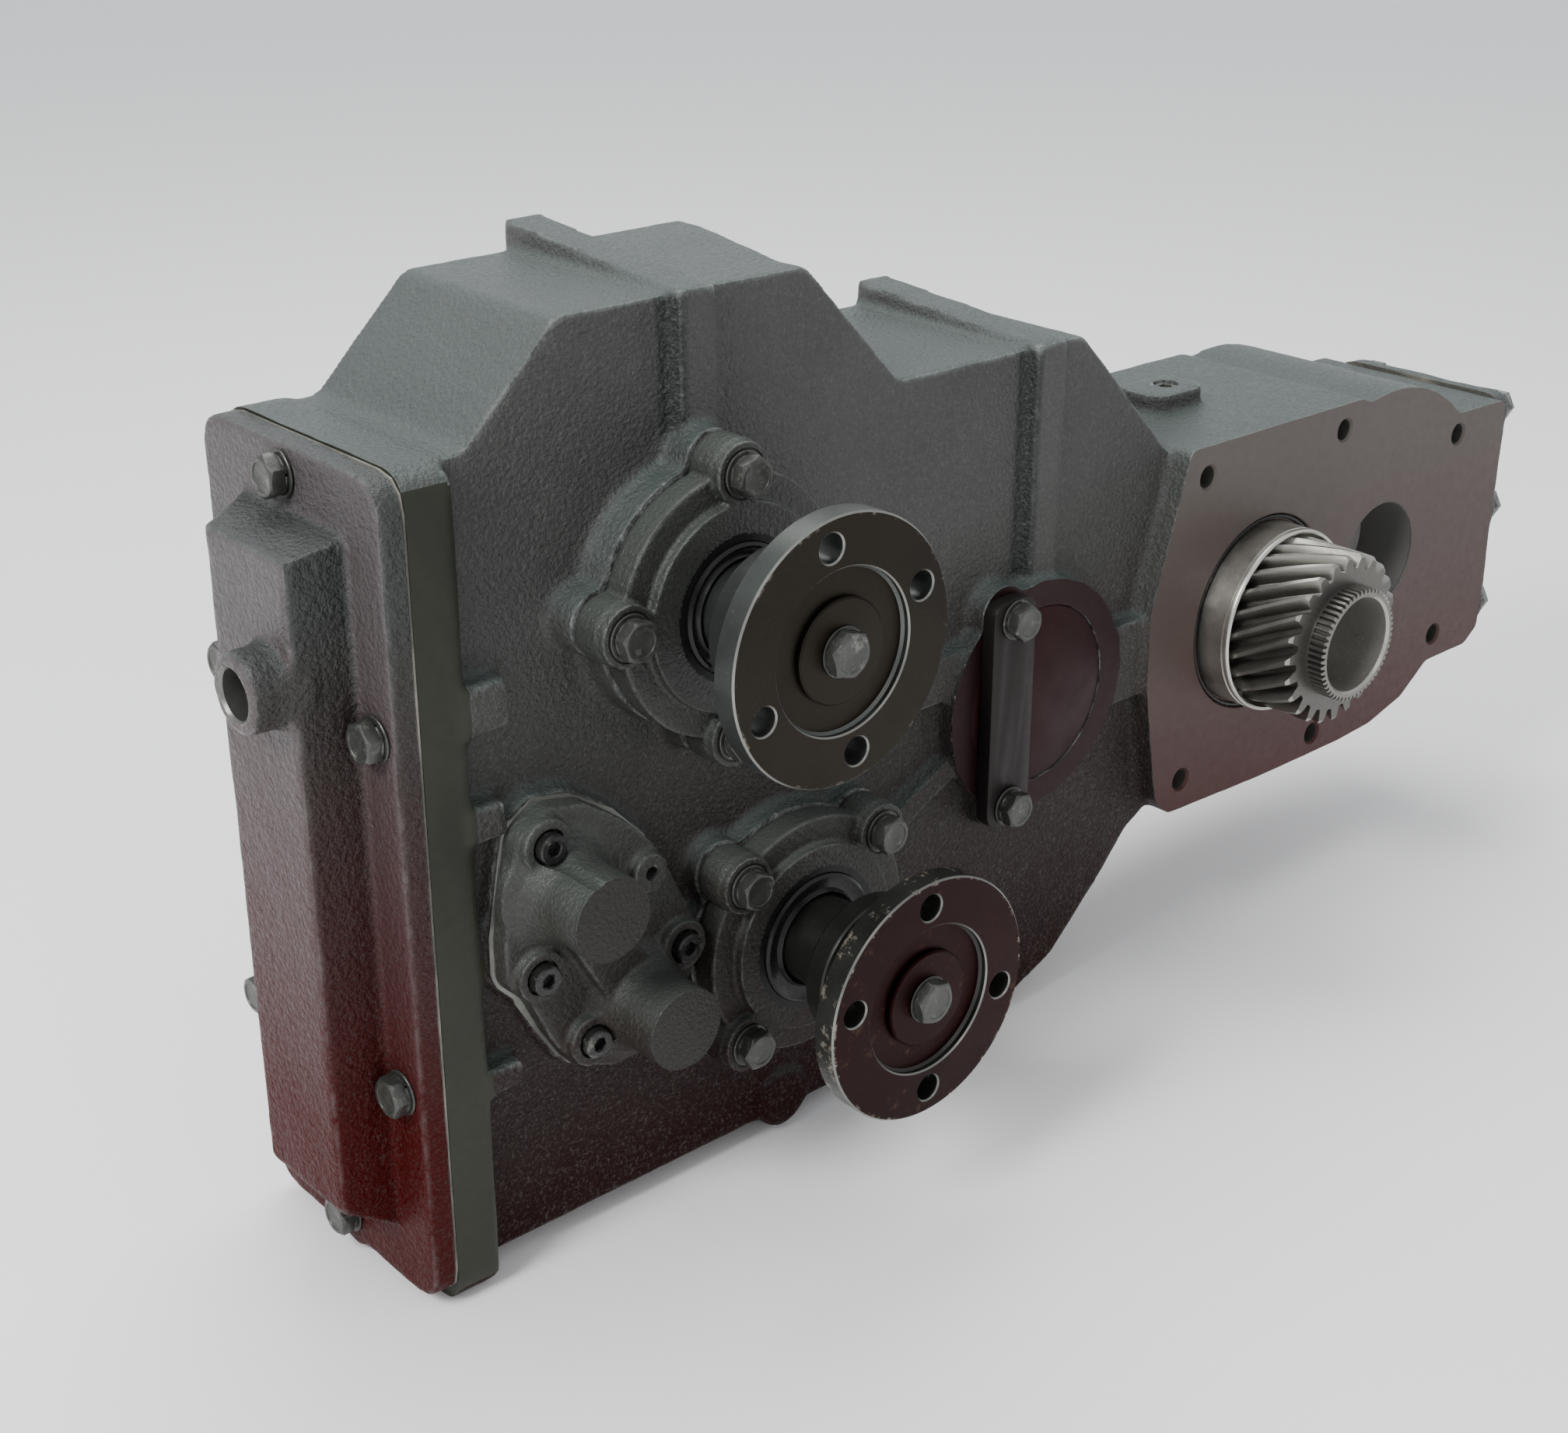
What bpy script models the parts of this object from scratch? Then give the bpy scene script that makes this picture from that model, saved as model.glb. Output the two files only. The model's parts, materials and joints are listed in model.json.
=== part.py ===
"""An industrial transfer gearbox with one geared input, two flanged outputs and a shift cover.

The design frame has its origin where the upper output axis meets the front face. X runs along the
long side, Z is up and -Y is the front. Lengths in this file are millimetres, and MM turns them into
metres when a mesh is made. An empty carries every part, so that the world origin is the bottom centre
of the whole gearbox.

A part that faces forwards is drawn in a local frame: (u, v) is (x, z) and h is the height in front of
the housing's front face. A part that faces left has (u, v) = (-y, z) and h = -x, and one that faces
right has (u, v) = (y, z) and h = x.
"""

import math

import bmesh
import bpy
from mathutils import Vector

MM = 0.001
GAP = 0.3
HALF_TURN = math.pi
FULL_TURN = 2 * math.pi

FRONT = (HALF_TURN / 2, 0, 0)
LEFT = (HALF_TURN / 2, 0, -HALF_TURN / 2)
RIGHT = (HALF_TURN / 2, 0, HALF_TURN / 2)
UP = (0, 0, 0)

# Gear train: four spur gears in one plane, with the idler in the middle.
MODULE = 4.0
UPPER_TEETH = 60
LOWER_TEETH = 28
IDLER_TEETH = 64
PINION_TEETH = 26
ADDENDUM = 0.75 * MODULE
DEDENDUM = 0.9 * MODULE
PRESSURE_ANGLE = math.radians(20)
BACKLASH = 0.5
GEAR_FRONT_H = -20
GEAR_BACK_H = -44

# Shaft axes, as (x, z) in the design frame.
UPPER_AXIS = (0.0, 0.0)
IDLER_X = 221.2
LOWER_Z = -183.6
UPPER_TO_IDLER = MODULE * (UPPER_TEETH + IDLER_TEETH) / 2
LOWER_TO_IDLER = MODULE * (LOWER_TEETH + IDLER_TEETH) / 2
INPUT_TO_IDLER = MODULE * (PINION_TEETH + IDLER_TEETH) / 2
IDLER_AXIS = (IDLER_X, -math.sqrt(UPPER_TO_IDLER**2 - IDLER_X**2))
LOWER_AXIS = (IDLER_X - math.sqrt(LOWER_TO_IDLER**2 - (LOWER_Z - IDLER_AXIS[1]) ** 2), LOWER_Z)
INPUT_AXIS = (IDLER_AXIS[0] + INPUT_TO_IDLER, IDLER_AXIS[1])
POCKET_AXIS = (512.0, -106.5)

# Housing.
MAIN_BACK_H = -114
REAR_STEP_BACK_H = -121
BLOCK_BACK_H = -119
BLOCK_FACE_H = 14
BLOCK_TOP_Z = -4
BLOCK_STEP_Z = -33
CAVITY_FRONT_H = -9
CAVITY_BACK_H = -105
BLOCK_CAVITY_BACK_H = -110
TOP_WALL = 6
CAST_EDGE = 4
BOTTOM_Z = -299
FLANGE_BOTTOM_Z = -310.5
FLANGE_TOP_Z = 85
FLANGE_NEAR_Y = -11
FLANGE_FAR_Y = 127
FLANGE_X = (-147, -124)
BLOCK_RIGHT_X = 630.6
HUMP_RADIUS = 101.5
REAR_BOSS_RADIUS = 50
REAR_BOSS_BACK_H = -126
FOOT_X = (150, 215)
FOOT_Y = (40, 104)
FACE_HOLES = ((346, -21.5), (466, -19.5), (582.4, -45.2), (581.5, -173.8), (463.6, -206), (342, -198.2))
FACE_HOLE_RADIUS = 7
POCKET_RADIUS = 33
PLUG_AT = (390, 55)
PLUG_RADIUS = 7
PLUG_BOSS = 18

# Bearing covers and companion flanges.
BOLT_CIRCLE = 60
COVER_RADIUS = 60.3
COVER_WAIST = 48
LOBE_RADIUS = 14.5
COVER_RIM = 16.2
STAR_STEP = 3.8
UPPER_BOSS_H = 16.7
LOWER_BOSS_H = 10
UPPER_BOLT_TURN = math.radians(87.5)
LOWER_BOLT_TURN = math.radians(45)
UPPER_FACE_H = 103.4
LOWER_FACE_H = 107.4
FLANGE_RADIUS = 60
FLANGE_THICKNESS = 12.5
HUB_RADIUS = 36
HUB_LENGTH = 46
NECK_RADIUS = 22
PILOT_RADIUS = 36.8
PILOT_DEPTH = 4
HOLE_CIRCLE = 47.5
HOLE_RADIUS = 6.5
HOLE_SPREAD = math.radians(38.2)
UPPER_HOLE_TURN = math.radians(61)
LOWER_HOLE_TURN = math.radians(129)
UPPER_SEAL_RADIUS = 30
LOWER_SEAL_RADIUS = 33

# Bearings and shafts.
UPPER_BORE = 45
LOWER_BORE = 42
IDLER_BORE = 48
INPUT_BORE = 52.5
SNAP_GROOVE = 56.7
INPUT_RING_H = 33.5
REAR_BORE = 36
SHAFT_RADIUS = 20
GEAR_SEAT = 22
FLANGE_SEAT = 16
SPLINE_HUB = 24

# Idler boss and its keeper bar.
IDLER_BOSS_RADIUS = 62
IDLER_BOSS_H = 12
KEEPER_CIRCLE = 58.4
KEEPER_ANGLES = (math.radians(118.2), math.radians(241.8))
KEEPER_X = (178, 208)
KEEPER_Z = (-174, -50)
KEEPER_THICKNESS = 8

# Input gear in front of the machined face.
INPUT_TEETH = 24
INPUT_TIP = 48.3
INPUT_ROOT = 40.5
INPUT_FRONT_H = 70.4
INPUT_BACK_H = 26
INPUT_TWIST_PER_MM = math.radians(0.68)
DOG_RADIUS = 31.9
DOG_FRONT_H = 81
INPUT_SOCKET = 26.7
INPUT_WEB = 8
SPIGOT_RADIUS = 18

# Shift cover, rail, fork and sleeve.
SHIFT_SCREWS = ((-96, -87.5), (-102, -149.5), (-76, -192), (-23.5, -163))
SHIFT_EAR = (-42, -112)
SHIFT_TUBES = ((-87, -113), (-49, -182.4))
SHIFT_BOSS_H = 8
SHIFT_FLANGE_H = 20
SHIFT_TUBE_H = 56
SHIFT_TUBE_RADIUS = 19.5
RAIL_RADIUS = 8
RAIL_H = (-96, 38)
SLEEVE_RADIUS = 42
SLEEVE_GROOVE = 32
SLEEVE_H = (-82, -58)
GROOVE_H = (-74, -66)

# End covers.
GASKET = 1.0
PLATE_BACK = -FLANGE_X[0] + 2 * GAP + GASKET
PLATE_FRONT = PLATE_BACK + 11
PAN_FRONT = 188
PORT_FRONT = 206
PORT_AXIS = (31, -4)
PORT_RADIUS = 17
PORT_HOLE = 11
END_PLATE = ((-FLANGE_FAR_Y, -FLANGE_NEAR_Y), (-304, 84))
END_LUG_AT = (-60, -291)
END_LUG_RADIUS = 17
END_BOLTS = ((61, 71), (2.5, -27), (118, -28), (3.5, -196), (118, -196), (60, -289))
RIGHT_COVER_X = BLOCK_RIGHT_X + 2 * GAP + GASKET
RIGHT_COVER_FRONT = 654
RIGHT_PLATE = ((-9, 106), (-184, -32))

# Fasteners.
M10 = 5
HEAD_WIDTH = 17
HEAD_HEIGHT = 6.5
WASHER_RADIUS = 10.5
WASHER_HEIGHT = 2.5
SHANK_LENGTH = 26
SHORT_SHANK = 20
CAP_HEAD_RADIUS = 7
CAP_HEAD_HEIGHT = 8

X_CENTRE = (RIGHT_COVER_FRONT - PORT_FRONT) / 2
CENTRE_BOLT_STAND = 5.2
Y_CENTRE = (FLANGE_FAR_Y - LOWER_FACE_H - CENTRE_BOLT_STAND) / 2

BORE_STEPS = 24
DISC_STEPS = 32
SHAFT_STEPS = 20
TAP_STEPS = 8


def clear_scene():
    for obj in list(bpy.data.objects):
        bpy.data.objects.remove(obj, do_unlink=True)


def new_collection(name):
    made = bpy.data.collections.new(name)
    bpy.context.scene.collection.children.link(made)
    return made


clear_scene()
PARTS = new_collection("industrial_gearbox")
CUTTERS = new_collection("cutters")
CARRIER = bpy.data.objects.new("gearbox_frame", None)
CARRIER.location = (-X_CENTRE * MM, -Y_CENTRE * MM, -FLANGE_BOTTOM_Z * MM)
PARTS.objects.link(CARRIER)


def material(name, color, roughness, metallic):
    made = bpy.data.materials.new(name)
    made.use_nodes = True
    shader = made.node_tree.nodes["Principled BSDF"]
    shader.inputs["Base Color"].default_value = (*color, 1)
    shader.inputs["Roughness"].default_value = roughness
    shader.inputs["Metallic"].default_value = metallic
    return made


CAST_PAINT = material("cast_paint", (0.035, 0.045, 0.042), 0.45, 0.2)
COVER_PAINT = material("cover_paint", (0.05, 0.05, 0.052), 0.4, 0.2)
MACHINED = material("machined_steel", (0.28, 0.26, 0.24), 0.4, 0.9)
GEAR_STEEL = material("gear_steel", (0.5, 0.49, 0.46), 0.28, 1.0)
DARK_STEEL = material("dark_steel", (0.09, 0.085, 0.08), 0.35, 0.8)
BOLT_STEEL = material("bolt_steel", (0.16, 0.16, 0.15), 0.4, 0.8)
GASKET_SHEET = material("gasket_sheet", (0.3, 0.29, 0.24), 0.8, 0.0)
RUBBER = material("seal_rubber", (0.02, 0.02, 0.02), 0.6, 0.0)


# Meshes.


def join_points(mesh):
    """Welds the caps of a filled curve to its sides."""
    work = bmesh.new()
    work.from_mesh(mesh)
    bmesh.ops.remove_doubles(work, verts=work.verts, dist=0.001 * MM)
    bmesh.ops.recalc_face_normals(work, faces=work.faces)
    work.to_mesh(mesh)
    work.free()


def shade(mesh):
    mesh.shade_smooth()
    mesh.set_sharp_from_angle(angle=math.radians(30))


def new_object(name, mesh, facing=FRONT, at=(0, 0), h=0, hidden=False):
    """Places a mesh in its local frame: `at` is (u, v) in millimetres, and h is its height."""
    obj = bpy.data.objects.new(name, mesh)
    u, v = at
    places = {FRONT: (u, -h, v), LEFT: (-h, -u, v), RIGHT: (h, u, v), UP: (u, v, h)}
    obj.rotation_euler = facing
    obj.location = [c * MM for c in places[facing]]
    obj.parent = CARRIER
    (CUTTERS if hidden else PARTS).objects.link(obj)
    if hidden:
        obj.hide_render = True
        obj.display_type = "WIRE"
    return obj


def paint(obj, finish):
    obj.data.materials.clear()
    obj.data.materials.append(finish)
    return obj


def prism_mesh(name, outline, low, high, holes=()):
    """A flat outline, in (u, v), extruded from height low to height high."""
    curve = bpy.data.curves.new(name, "CURVE")
    curve.dimensions = "2D"
    curve.fill_mode = "BOTH"
    curve.extrude = (high - low) / 2 * MM
    for loop in (outline, *holes):
        spline = curve.splines.new("POLY")
        spline.points.add(len(loop) - 1)
        spline.use_cyclic_u = True
        for point, (u, v) in zip(spline.points, loop):
            point.co = (u * MM, v * MM, 0, 1)
    holder = bpy.data.objects.new(name, curve)
    PARTS.objects.link(holder)
    graph = bpy.context.evaluated_depsgraph_get()
    mesh = bpy.data.meshes.new_from_object(holder.evaluated_get(graph))
    bpy.data.objects.remove(holder)
    bpy.data.curves.remove(curve)
    join_points(mesh)
    for vertex in mesh.vertices:
        vertex.co.z += (high + low) / 2 * MM
    shade(mesh)
    return mesh


def prism(name, outline, low, high, facing=FRONT, at=(0, 0), hidden=False, bevel=0, holes=()):
    obj = new_object(name, prism_mesh(name, outline, low, high, holes), facing, at, 0, hidden)
    if bevel:
        edge = obj.modifiers.new("cast_edge", "BEVEL")
        edge.width = bevel * MM
        edge.segments = 1
        edge.limit_method = "ANGLE"
        edge.angle_limit = math.radians(50)
    return obj


def turned(name, profile, steps=BORE_STEPS, facing=FRONT, at=(0, 0), hidden=False, ring=True):
    """A profile of (radius, h) points turned about the local Z axis. A ring's profile is closed."""
    mesh = bpy.data.meshes.new(name)
    points = [(radius * MM, 0, h * MM) for radius, h in profile]
    count = len(points)
    edges = [(k, k + 1) for k in range(count - 1)]
    if ring:
        edges.append((count - 1, 0))
    mesh.from_pydata(points, edges, [])
    obj = new_object(name, mesh, facing, at, 0, hidden)
    turn = obj.modifiers.new("turn", "SCREW")
    turn.steps = steps
    turn.render_steps = steps
    turn.use_merge_vertices = True
    turn.merge_threshold = 0.01 * MM
    turn.use_smooth_shade = True
    return obj


def rod(name, radius, low, high, steps=BORE_STEPS, facing=FRONT, at=(0, 0), hidden=True):
    """A plain round bar or, when hidden, a drill."""
    profile = [(0, high), (radius, high), (radius, low), (0, low)]
    return turned(name, profile, steps, facing, at, hidden, ring=False)


def tapered_box(name, low_box, high_box, low, high, facing):
    """A box whose section changes from low_box to high_box, each ((u0, u1), (v0, v1))."""
    mesh = bpy.data.meshes.new(name)
    work = bmesh.new()
    bmesh.ops.create_cube(work, size=1)
    for vertex in work.verts:
        (u0, u1), (v0, v1) = high_box if vertex.co.z > 0 else low_box
        vertex.co.x = (u1 if vertex.co.x > 0 else u0) * MM
        vertex.co.y = (v1 if vertex.co.y > 0 else v0) * MM
        vertex.co.z = (high if vertex.co.z > 0 else low) * MM
    work.to_mesh(mesh)
    work.free()
    return new_object(name, mesh, facing, hidden=True)


def boolean(obj, operation, *others):
    for other in others:
        step = obj.modifiers.new(f"{operation.lower()}_{other.name}", "BOOLEAN")
        step.operation = operation
        step.object = other
    return obj


def join(obj, *others):
    return boolean(obj, "UNION", *others)


def cut(obj, *others):
    return boolean(obj, "DIFFERENCE", *others)


def settled(obj):
    """The object's evaluated mesh, as a mesh that several objects can share."""
    graph = bpy.context.evaluated_depsgraph_get()
    mesh = bpy.data.meshes.new_from_object(obj.evaluated_get(graph))
    shade(mesh)
    bpy.data.objects.remove(obj)
    return mesh


# Outlines.


def polar(centre, radius, angle):
    return (centre[0] + radius * math.cos(angle), centre[1] + radius * math.sin(angle))


def arc(centre, radius, start, end, steps):
    """Points from start to end, both in radians and both included."""
    return [polar(centre, radius, start + (end - start) * k / steps) for k in range(steps + 1)]


def circle(centre, radius, steps=BORE_STEPS):
    return [polar(centre, radius, FULL_TURN * k / steps) for k in range(steps)]


def rectangle(u0, u1, v0, v1):
    return [(u0, v0), (u1, v0), (u1, v1), (u0, v1)]


def rounded(outline, radius, steps=2):
    """The outline with each corner replaced by an arc, smaller where its sides are short."""
    made = []
    count = len(outline)
    for k, point in enumerate(outline):
        corner = Vector(point)
        to_last = Vector(outline[k - 1]) - corner
        to_next = Vector(outline[(k + 1) % count]) - corner
        turn = to_last.angle(to_next)
        reach = min(radius / math.tan(turn / 2), 0.45 * to_last.length, 0.45 * to_next.length)
        start = corner + to_last.normalized() * reach
        end = corner + to_next.normalized() * reach
        for j in range(steps + 1):
            middle_1 = start.lerp(corner, j / steps)
            middle_2 = corner.lerp(end, j / steps)
            made.append(tuple(middle_1.lerp(middle_2, j / steps)))
    return made


def inset(outline, wall):
    """An anticlockwise outline moved inwards by the wall."""
    made = []
    count = len(outline)
    for k, (x, y) in enumerate(outline):
        x0, y0 = outline[k - 1]
        x1, y1 = outline[(k + 1) % count]
        a, b = math.hypot(x - x0, y - y0), math.hypot(x1 - x, y1 - y)
        n0 = (-(y - y0) / a, (x - x0) / a)
        n1 = (-(y1 - y) / b, (x1 - x) / b)
        share = wall / (1 + n0[0] * n1[0] + n0[1] * n1[1])
        made.append((x + (n0[0] + n1[0]) * share, y + (n0[1] + n1[1]) * share))
    return made


def lobed(radius, lobe, reach, angles):
    """A circle with a round lobe at each angle. The angles rise, and are less than a turn apart."""
    on_circle = math.acos((radius**2 + reach**2 - lobe**2) / 2 / radius / reach)
    on_lobe = math.acos((radius**2 - reach**2 - lobe**2) / 2 / reach / lobe)
    made = []
    for k, angle in enumerate(angles):
        made += arc(polar((0, 0), reach, angle), lobe, angle - on_lobe, angle + on_lobe, 6)
        following = angles[k + 1] if k + 1 < len(angles) else angles[0] + FULL_TURN
        start, end = angle + on_circle, following - on_circle
        steps = math.ceil((end - start) / math.radians(15))
        made += arc((0, 0), radius, start, end, steps)[1:-1]
    return made


def hull_of_circles(centres, radius, steps=14):
    """The outline of a belt round equal circles."""
    points = sorted({(round(u, 4), round(v, 4)) for c in centres for u, v in circle(c, radius, steps)})

    def half(ordered):
        chain = []
        for point in ordered:
            while len(chain) > 1 and cross(chain[-2], chain[-1], point) <= 0:
                chain.pop()
            chain.append(point)
        return chain[:-1]

    def cross(o, a, b):
        return (a[0] - o[0]) * (b[1] - o[1]) - (a[1] - o[1]) * (b[0] - o[0])

    return half(points) + half(points[::-1])


def bar(start, end, width):
    """The outline of a straight bar between two points."""
    du, dv = end[0] - start[0], end[1] - start[1]
    length = math.hypot(du, dv)
    su, sv = -dv / length * width / 2, du / length * width / 2
    return [
        (start[0] - su, start[1] - sv),
        (end[0] - su, end[1] - sv),
        (end[0] + su, end[1] + sv),
        (start[0] + su, start[1] + sv),
    ]


def quarter_turns(first):
    return [first + k * HALF_TURN / 2 for k in range(4)]


def involute(angle):
    return math.tan(angle) - angle


def gear_outline(teeth, module, turn):
    """Straight-flanked teeth through the involute's points at the root and at the tip."""
    pitch = module * teeth / 2
    base = pitch * math.cos(PRESSURE_ANGLE)
    root, tip = pitch - DEDENDUM, pitch + ADDENDUM

    def half_angle(radius):
        pressure = math.acos(min(1, base / radius))
        return HALF_TURN / 2 / teeth + involute(PRESSURE_ANGLE) - involute(pressure) - BACKLASH / 2 / pitch

    made = []
    for k in range(teeth):
        middle = turn + FULL_TURN * k / teeth
        for radius, side in ((root, -1), (tip, -1), (tip, 1), (root, 1)):
            made.append(polar((0, 0), radius, middle + side * half_angle(radius)))
    return made


def meshing_turn(driver_turn, driver_teeth, driver_axis, teeth, axis):
    """The turn that puts a gap of this gear at the driver's nearest tooth."""
    towards = math.atan2(axis[1] - driver_axis[1], axis[0] - driver_axis[0])
    phase = ((towards - driver_turn) / (FULL_TURN / driver_teeth)) % 1
    return towards + HALF_TURN - FULL_TURN / teeth * (0.5 - phase)


# Housing.

MAIN_OUTLINE = [
    (-130, BOTTOM_Z),
    (224, BOTTOM_Z),
    (256, -285),
    (291, -252),
    (315, -225),
    (330, -217),
    (330, -8),
    (257, 68),
    (129, 69),
    (71, 131),
    (-64, 131),
    (-112, 84),
    (-130, 84),
]
HUMP_START = math.acos((581.5 - POCKET_AXIS[0]) / HUMP_RADIUS)
HUMP_END = math.radians(103)
BLOCK_OUTLINE = [
    (321, -205),
    (332, -216),
    (410, -219),
    (488, -219),
    (522, -216.5),
    (553, -208),
    (577, -190),
    (618, -190),
    (BLOCK_RIGHT_X, -181),
    (BLOCK_RIGHT_X, BLOCK_STEP_Z),
    *arc(POCKET_AXIS, HUMP_RADIUS, HUMP_START, HUMP_END, 8),
    (480, BLOCK_TOP_Z),
    (331, BLOCK_TOP_Z),
    (305.7, -90.5),
    (307.5, -137),
]
BLOCK_CAVITY = [
    (300, -200),
    (484, -206),
    (548, -198),
    (570, -180),
    (660, -176),
    (660, -44),
    (578, -44),
    (530, -18),
    (484, -16),
    (300, -16),
]


REAR_STEP = [
    (160, -212),
    (330, -212),
    (330, -8),
    (257, 69),
    (129, 69),
]
SLOPE_SWELL = [
    (50, 88),
    (111, 88),
    (90, 131),
    (50, 131),
]
PADS = (((-126, -104), (-33, -11)), ((-126, -108), (-82, -66)), ((-126, -106), (-207, -195)))


def front_lobes(turn):
    return [polar((0, 0), BOLT_CIRCLE, angle) for angle in quarter_turns(turn)]


def drill_holes(name, centres, radius, low, high, facing=FRONT, at=(0, 0), steps=TAP_STEPS):
    return [
        rod(f"{name}_{k}", radius, low, high, steps, facing, (at[0] + u, at[1] + v))
        for k, (u, v) in enumerate(centres, 1)
    ]


KEEPER_BOLTS = [polar(IDLER_AXIS, KEEPER_CIRCLE, angle) for angle in KEEPER_ANGLES]


def add_housing():
    body = prism("housing", rounded(MAIN_OUTLINE, 8), MAIN_BACK_H, 0, bevel=CAST_EDGE)
    block = prism(
        "block_form", rounded(BLOCK_OUTLINE, 5, 1), BLOCK_BACK_H, BLOCK_FACE_H, hidden=True, bevel=1.5
    )
    flange = prism(
        "flange_form",
        rounded(rectangle(-FLANGE_FAR_Y, -FLANGE_NEAR_Y, FLANGE_BOTTOM_Z, FLANGE_TOP_Z), 16, 3),
        -FLANGE_X[1],
        -FLANGE_X[0],
        LEFT,
        hidden=True,
    )
    bridge = prism("bridge_form", rectangle(262, 318, -137, -92), -6, 10.5, hidden=True, bevel=1)
    left_bridge = prism("left_bridge_form", rectangle(110, 185, -100, -74), -6, 8, hidden=True, bevel=1)
    web = prism("web_form", bar((90, -176), (190, -124), 13), -6, 8, hidden=True, bevel=1)
    rib_1 = prism("rib_1_form", rectangle(-6, 15, 66, 143), -120, 4, hidden=True, bevel=2)
    rib_2 = prism("rib_2_form", rectangle(216, 238, -60, 80), -124, 4, hidden=True, bevel=2)
    lug = prism("lug_form", circle((56, -291), 16, 14), -16, 3, hidden=True)
    rear_step = prism("rear_step_form", REAR_STEP, REAR_STEP_BACK_H, -100, hidden=True, bevel=2)
    swell = prism("slope_swell_form", SLOPE_SWELL, -110, -62, hidden=True, bevel=2)
    pads = [
        prism(f"pad_form_{k}", rectangle(*across, *upright), -6, 7, hidden=True)
        for k, (across, upright) in enumerate(PADS, 1)
    ]
    feet = prism(
        "foot_form", rectangle(*FOOT_X, FLANGE_BOTTOM_Z, BOTTOM_Z + 6), -FOOT_Y[1], -FOOT_Y[0], hidden=True
    )
    upper_boss = prism(
        "upper_boss_form",
        lobed(COVER_RADIUS, LOBE_RADIUS, BOLT_CIRCLE, quarter_turns(UPPER_BOLT_TURN)),
        -6,
        UPPER_BOSS_H,
        hidden=True,
    )
    lower_boss = prism(
        "lower_boss_form",
        lobed(COVER_RADIUS, LOBE_RADIUS, BOLT_CIRCLE, quarter_turns(LOWER_BOLT_TURN)),
        -6,
        LOWER_BOSS_H,
        at=LOWER_AXIS,
        hidden=True,
    )
    idler_boss = prism(
        "idler_boss_form",
        lobed(IDLER_BOSS_RADIUS, LOBE_RADIUS, KEEPER_CIRCLE, KEEPER_ANGLES),
        -6,
        IDLER_BOSS_H,
        at=IDLER_AXIS,
        hidden=True,
    )
    shift_boss = prism("shift_boss_form", shift_outline(17.5), -6, SHIFT_BOSS_H, hidden=True)
    plug_boss = rod("plug_boss_form", PLUG_BOSS, -12, 5, SHAFT_STEPS, UP, PLUG_AT)
    rear_bosses = [
        rod(f"rear_boss_form_{k}", REAR_BOSS_RADIUS, REAR_BOSS_BACK_H, CAVITY_BACK_H + 4, SHAFT_STEPS, at=axis)
        for k, axis in enumerate((UPPER_AXIS, LOWER_AXIS, IDLER_AXIS, INPUT_AXIS))
    ]
    join(body, rear_step, block, flange, bridge, left_bridge, web, swell, rib_1, rib_2, lug, feet)
    join(body, upper_boss, lower_boss, idler_boss, shift_boss, plug_boss, *pads, *rear_bosses)

    main_cavity = inset(MAIN_OUTLINE, TOP_WALL)
    main_cavity[0] = (-160, -276)
    main_cavity[-2:] = [(-106, 74), (-124, 60), (-160, 60)]
    cut(
        body,
        prism("main_cavity", rounded(main_cavity, 4, 1), CAVITY_BACK_H, CAVITY_FRONT_H, hidden=True),
        prism("block_cavity", BLOCK_CAVITY, BLOCK_CAVITY_BACK_H, CAVITY_FRONT_H - 1, hidden=True),
    )
    join(body, rod("pocket_wall", POCKET_RADIUS + 8, -30, -6, at=POCKET_AXIS))

    drills = [
        rod("upper_bore", UPPER_BORE + GAP, CAVITY_FRONT_H - 5, UPPER_BOSS_H + 5),
        rod("lower_bore", LOWER_BORE + GAP, CAVITY_FRONT_H - 5, LOWER_BOSS_H + 5, at=LOWER_AXIS),
        rod("idler_bore", IDLER_BORE + GAP, CAVITY_FRONT_H - 5, IDLER_BOSS_H + 5, at=IDLER_AXIS),
        rod("input_bore", INPUT_BORE + GAP, CAVITY_FRONT_H - 5, BLOCK_FACE_H + 5, at=INPUT_AXIS),
        rod("snap_groove", SNAP_GROOVE, BLOCK_FACE_H - 3, BLOCK_FACE_H + 5, at=INPUT_AXIS),
        rod("pocket_bore", POCKET_RADIUS, -22, BLOCK_FACE_H + 5, at=POCKET_AXIS),
        rod("plug_bore", PLUG_RADIUS + GAP, -20, 12, 12, UP, PLUG_AT),
        rod("rail_bore", 12, -14, SHIFT_BOSS_H + 5, 16, at=SHIFT_TUBES[1]),
    ]
    for k, axis in enumerate((UPPER_AXIS, LOWER_AXIS, IDLER_AXIS, INPUT_AXIS)):
        drills.append(rod(f"rear_bore_{k}", REAR_BORE + GAP, -118, -96, SHAFT_STEPS, at=axis))
    drills += drill_holes("upper_tap", front_lobes(UPPER_BOLT_TURN), M10 + GAP, -4, 30)
    drills += drill_holes("lower_tap", front_lobes(LOWER_BOLT_TURN), M10 + GAP, -7, 30, at=LOWER_AXIS)
    drills += drill_holes("keeper_tap", KEEPER_BOLTS, M10 + GAP, -7, 30)
    drills += drill_holes("shift_tap", SHIFT_SCREWS, 4 + GAP, -7, 30)
    drills += drill_holes("face_tap", FACE_HOLES, FACE_HOLE_RADIUS, -6, 30, steps=12)
    drills += drill_holes("end_tap", [(-y, z) for y, z in END_BOLTS], M10 + GAP, 128, 160, LEFT)
    cut(body, *drills)
    return paint(body, CAST_PAINT)


def shift_outline(margin):
    return hull_of_circles((*SHIFT_SCREWS, SHIFT_EAR), margin)


# Fasteners.


def cone_mesh(name, radius, low, high, steps):
    mesh = bpy.data.meshes.new(name)
    work = bmesh.new()
    bmesh.ops.create_cone(
        work, cap_ends=True, segments=steps, radius1=radius * MM, radius2=radius * MM, depth=(high - low) * MM
    )
    bmesh.ops.translate(work, verts=work.verts, vec=(0, 0, (high + low) / 2 * MM))
    work.to_mesh(mesh)
    work.free()
    return mesh


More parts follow.
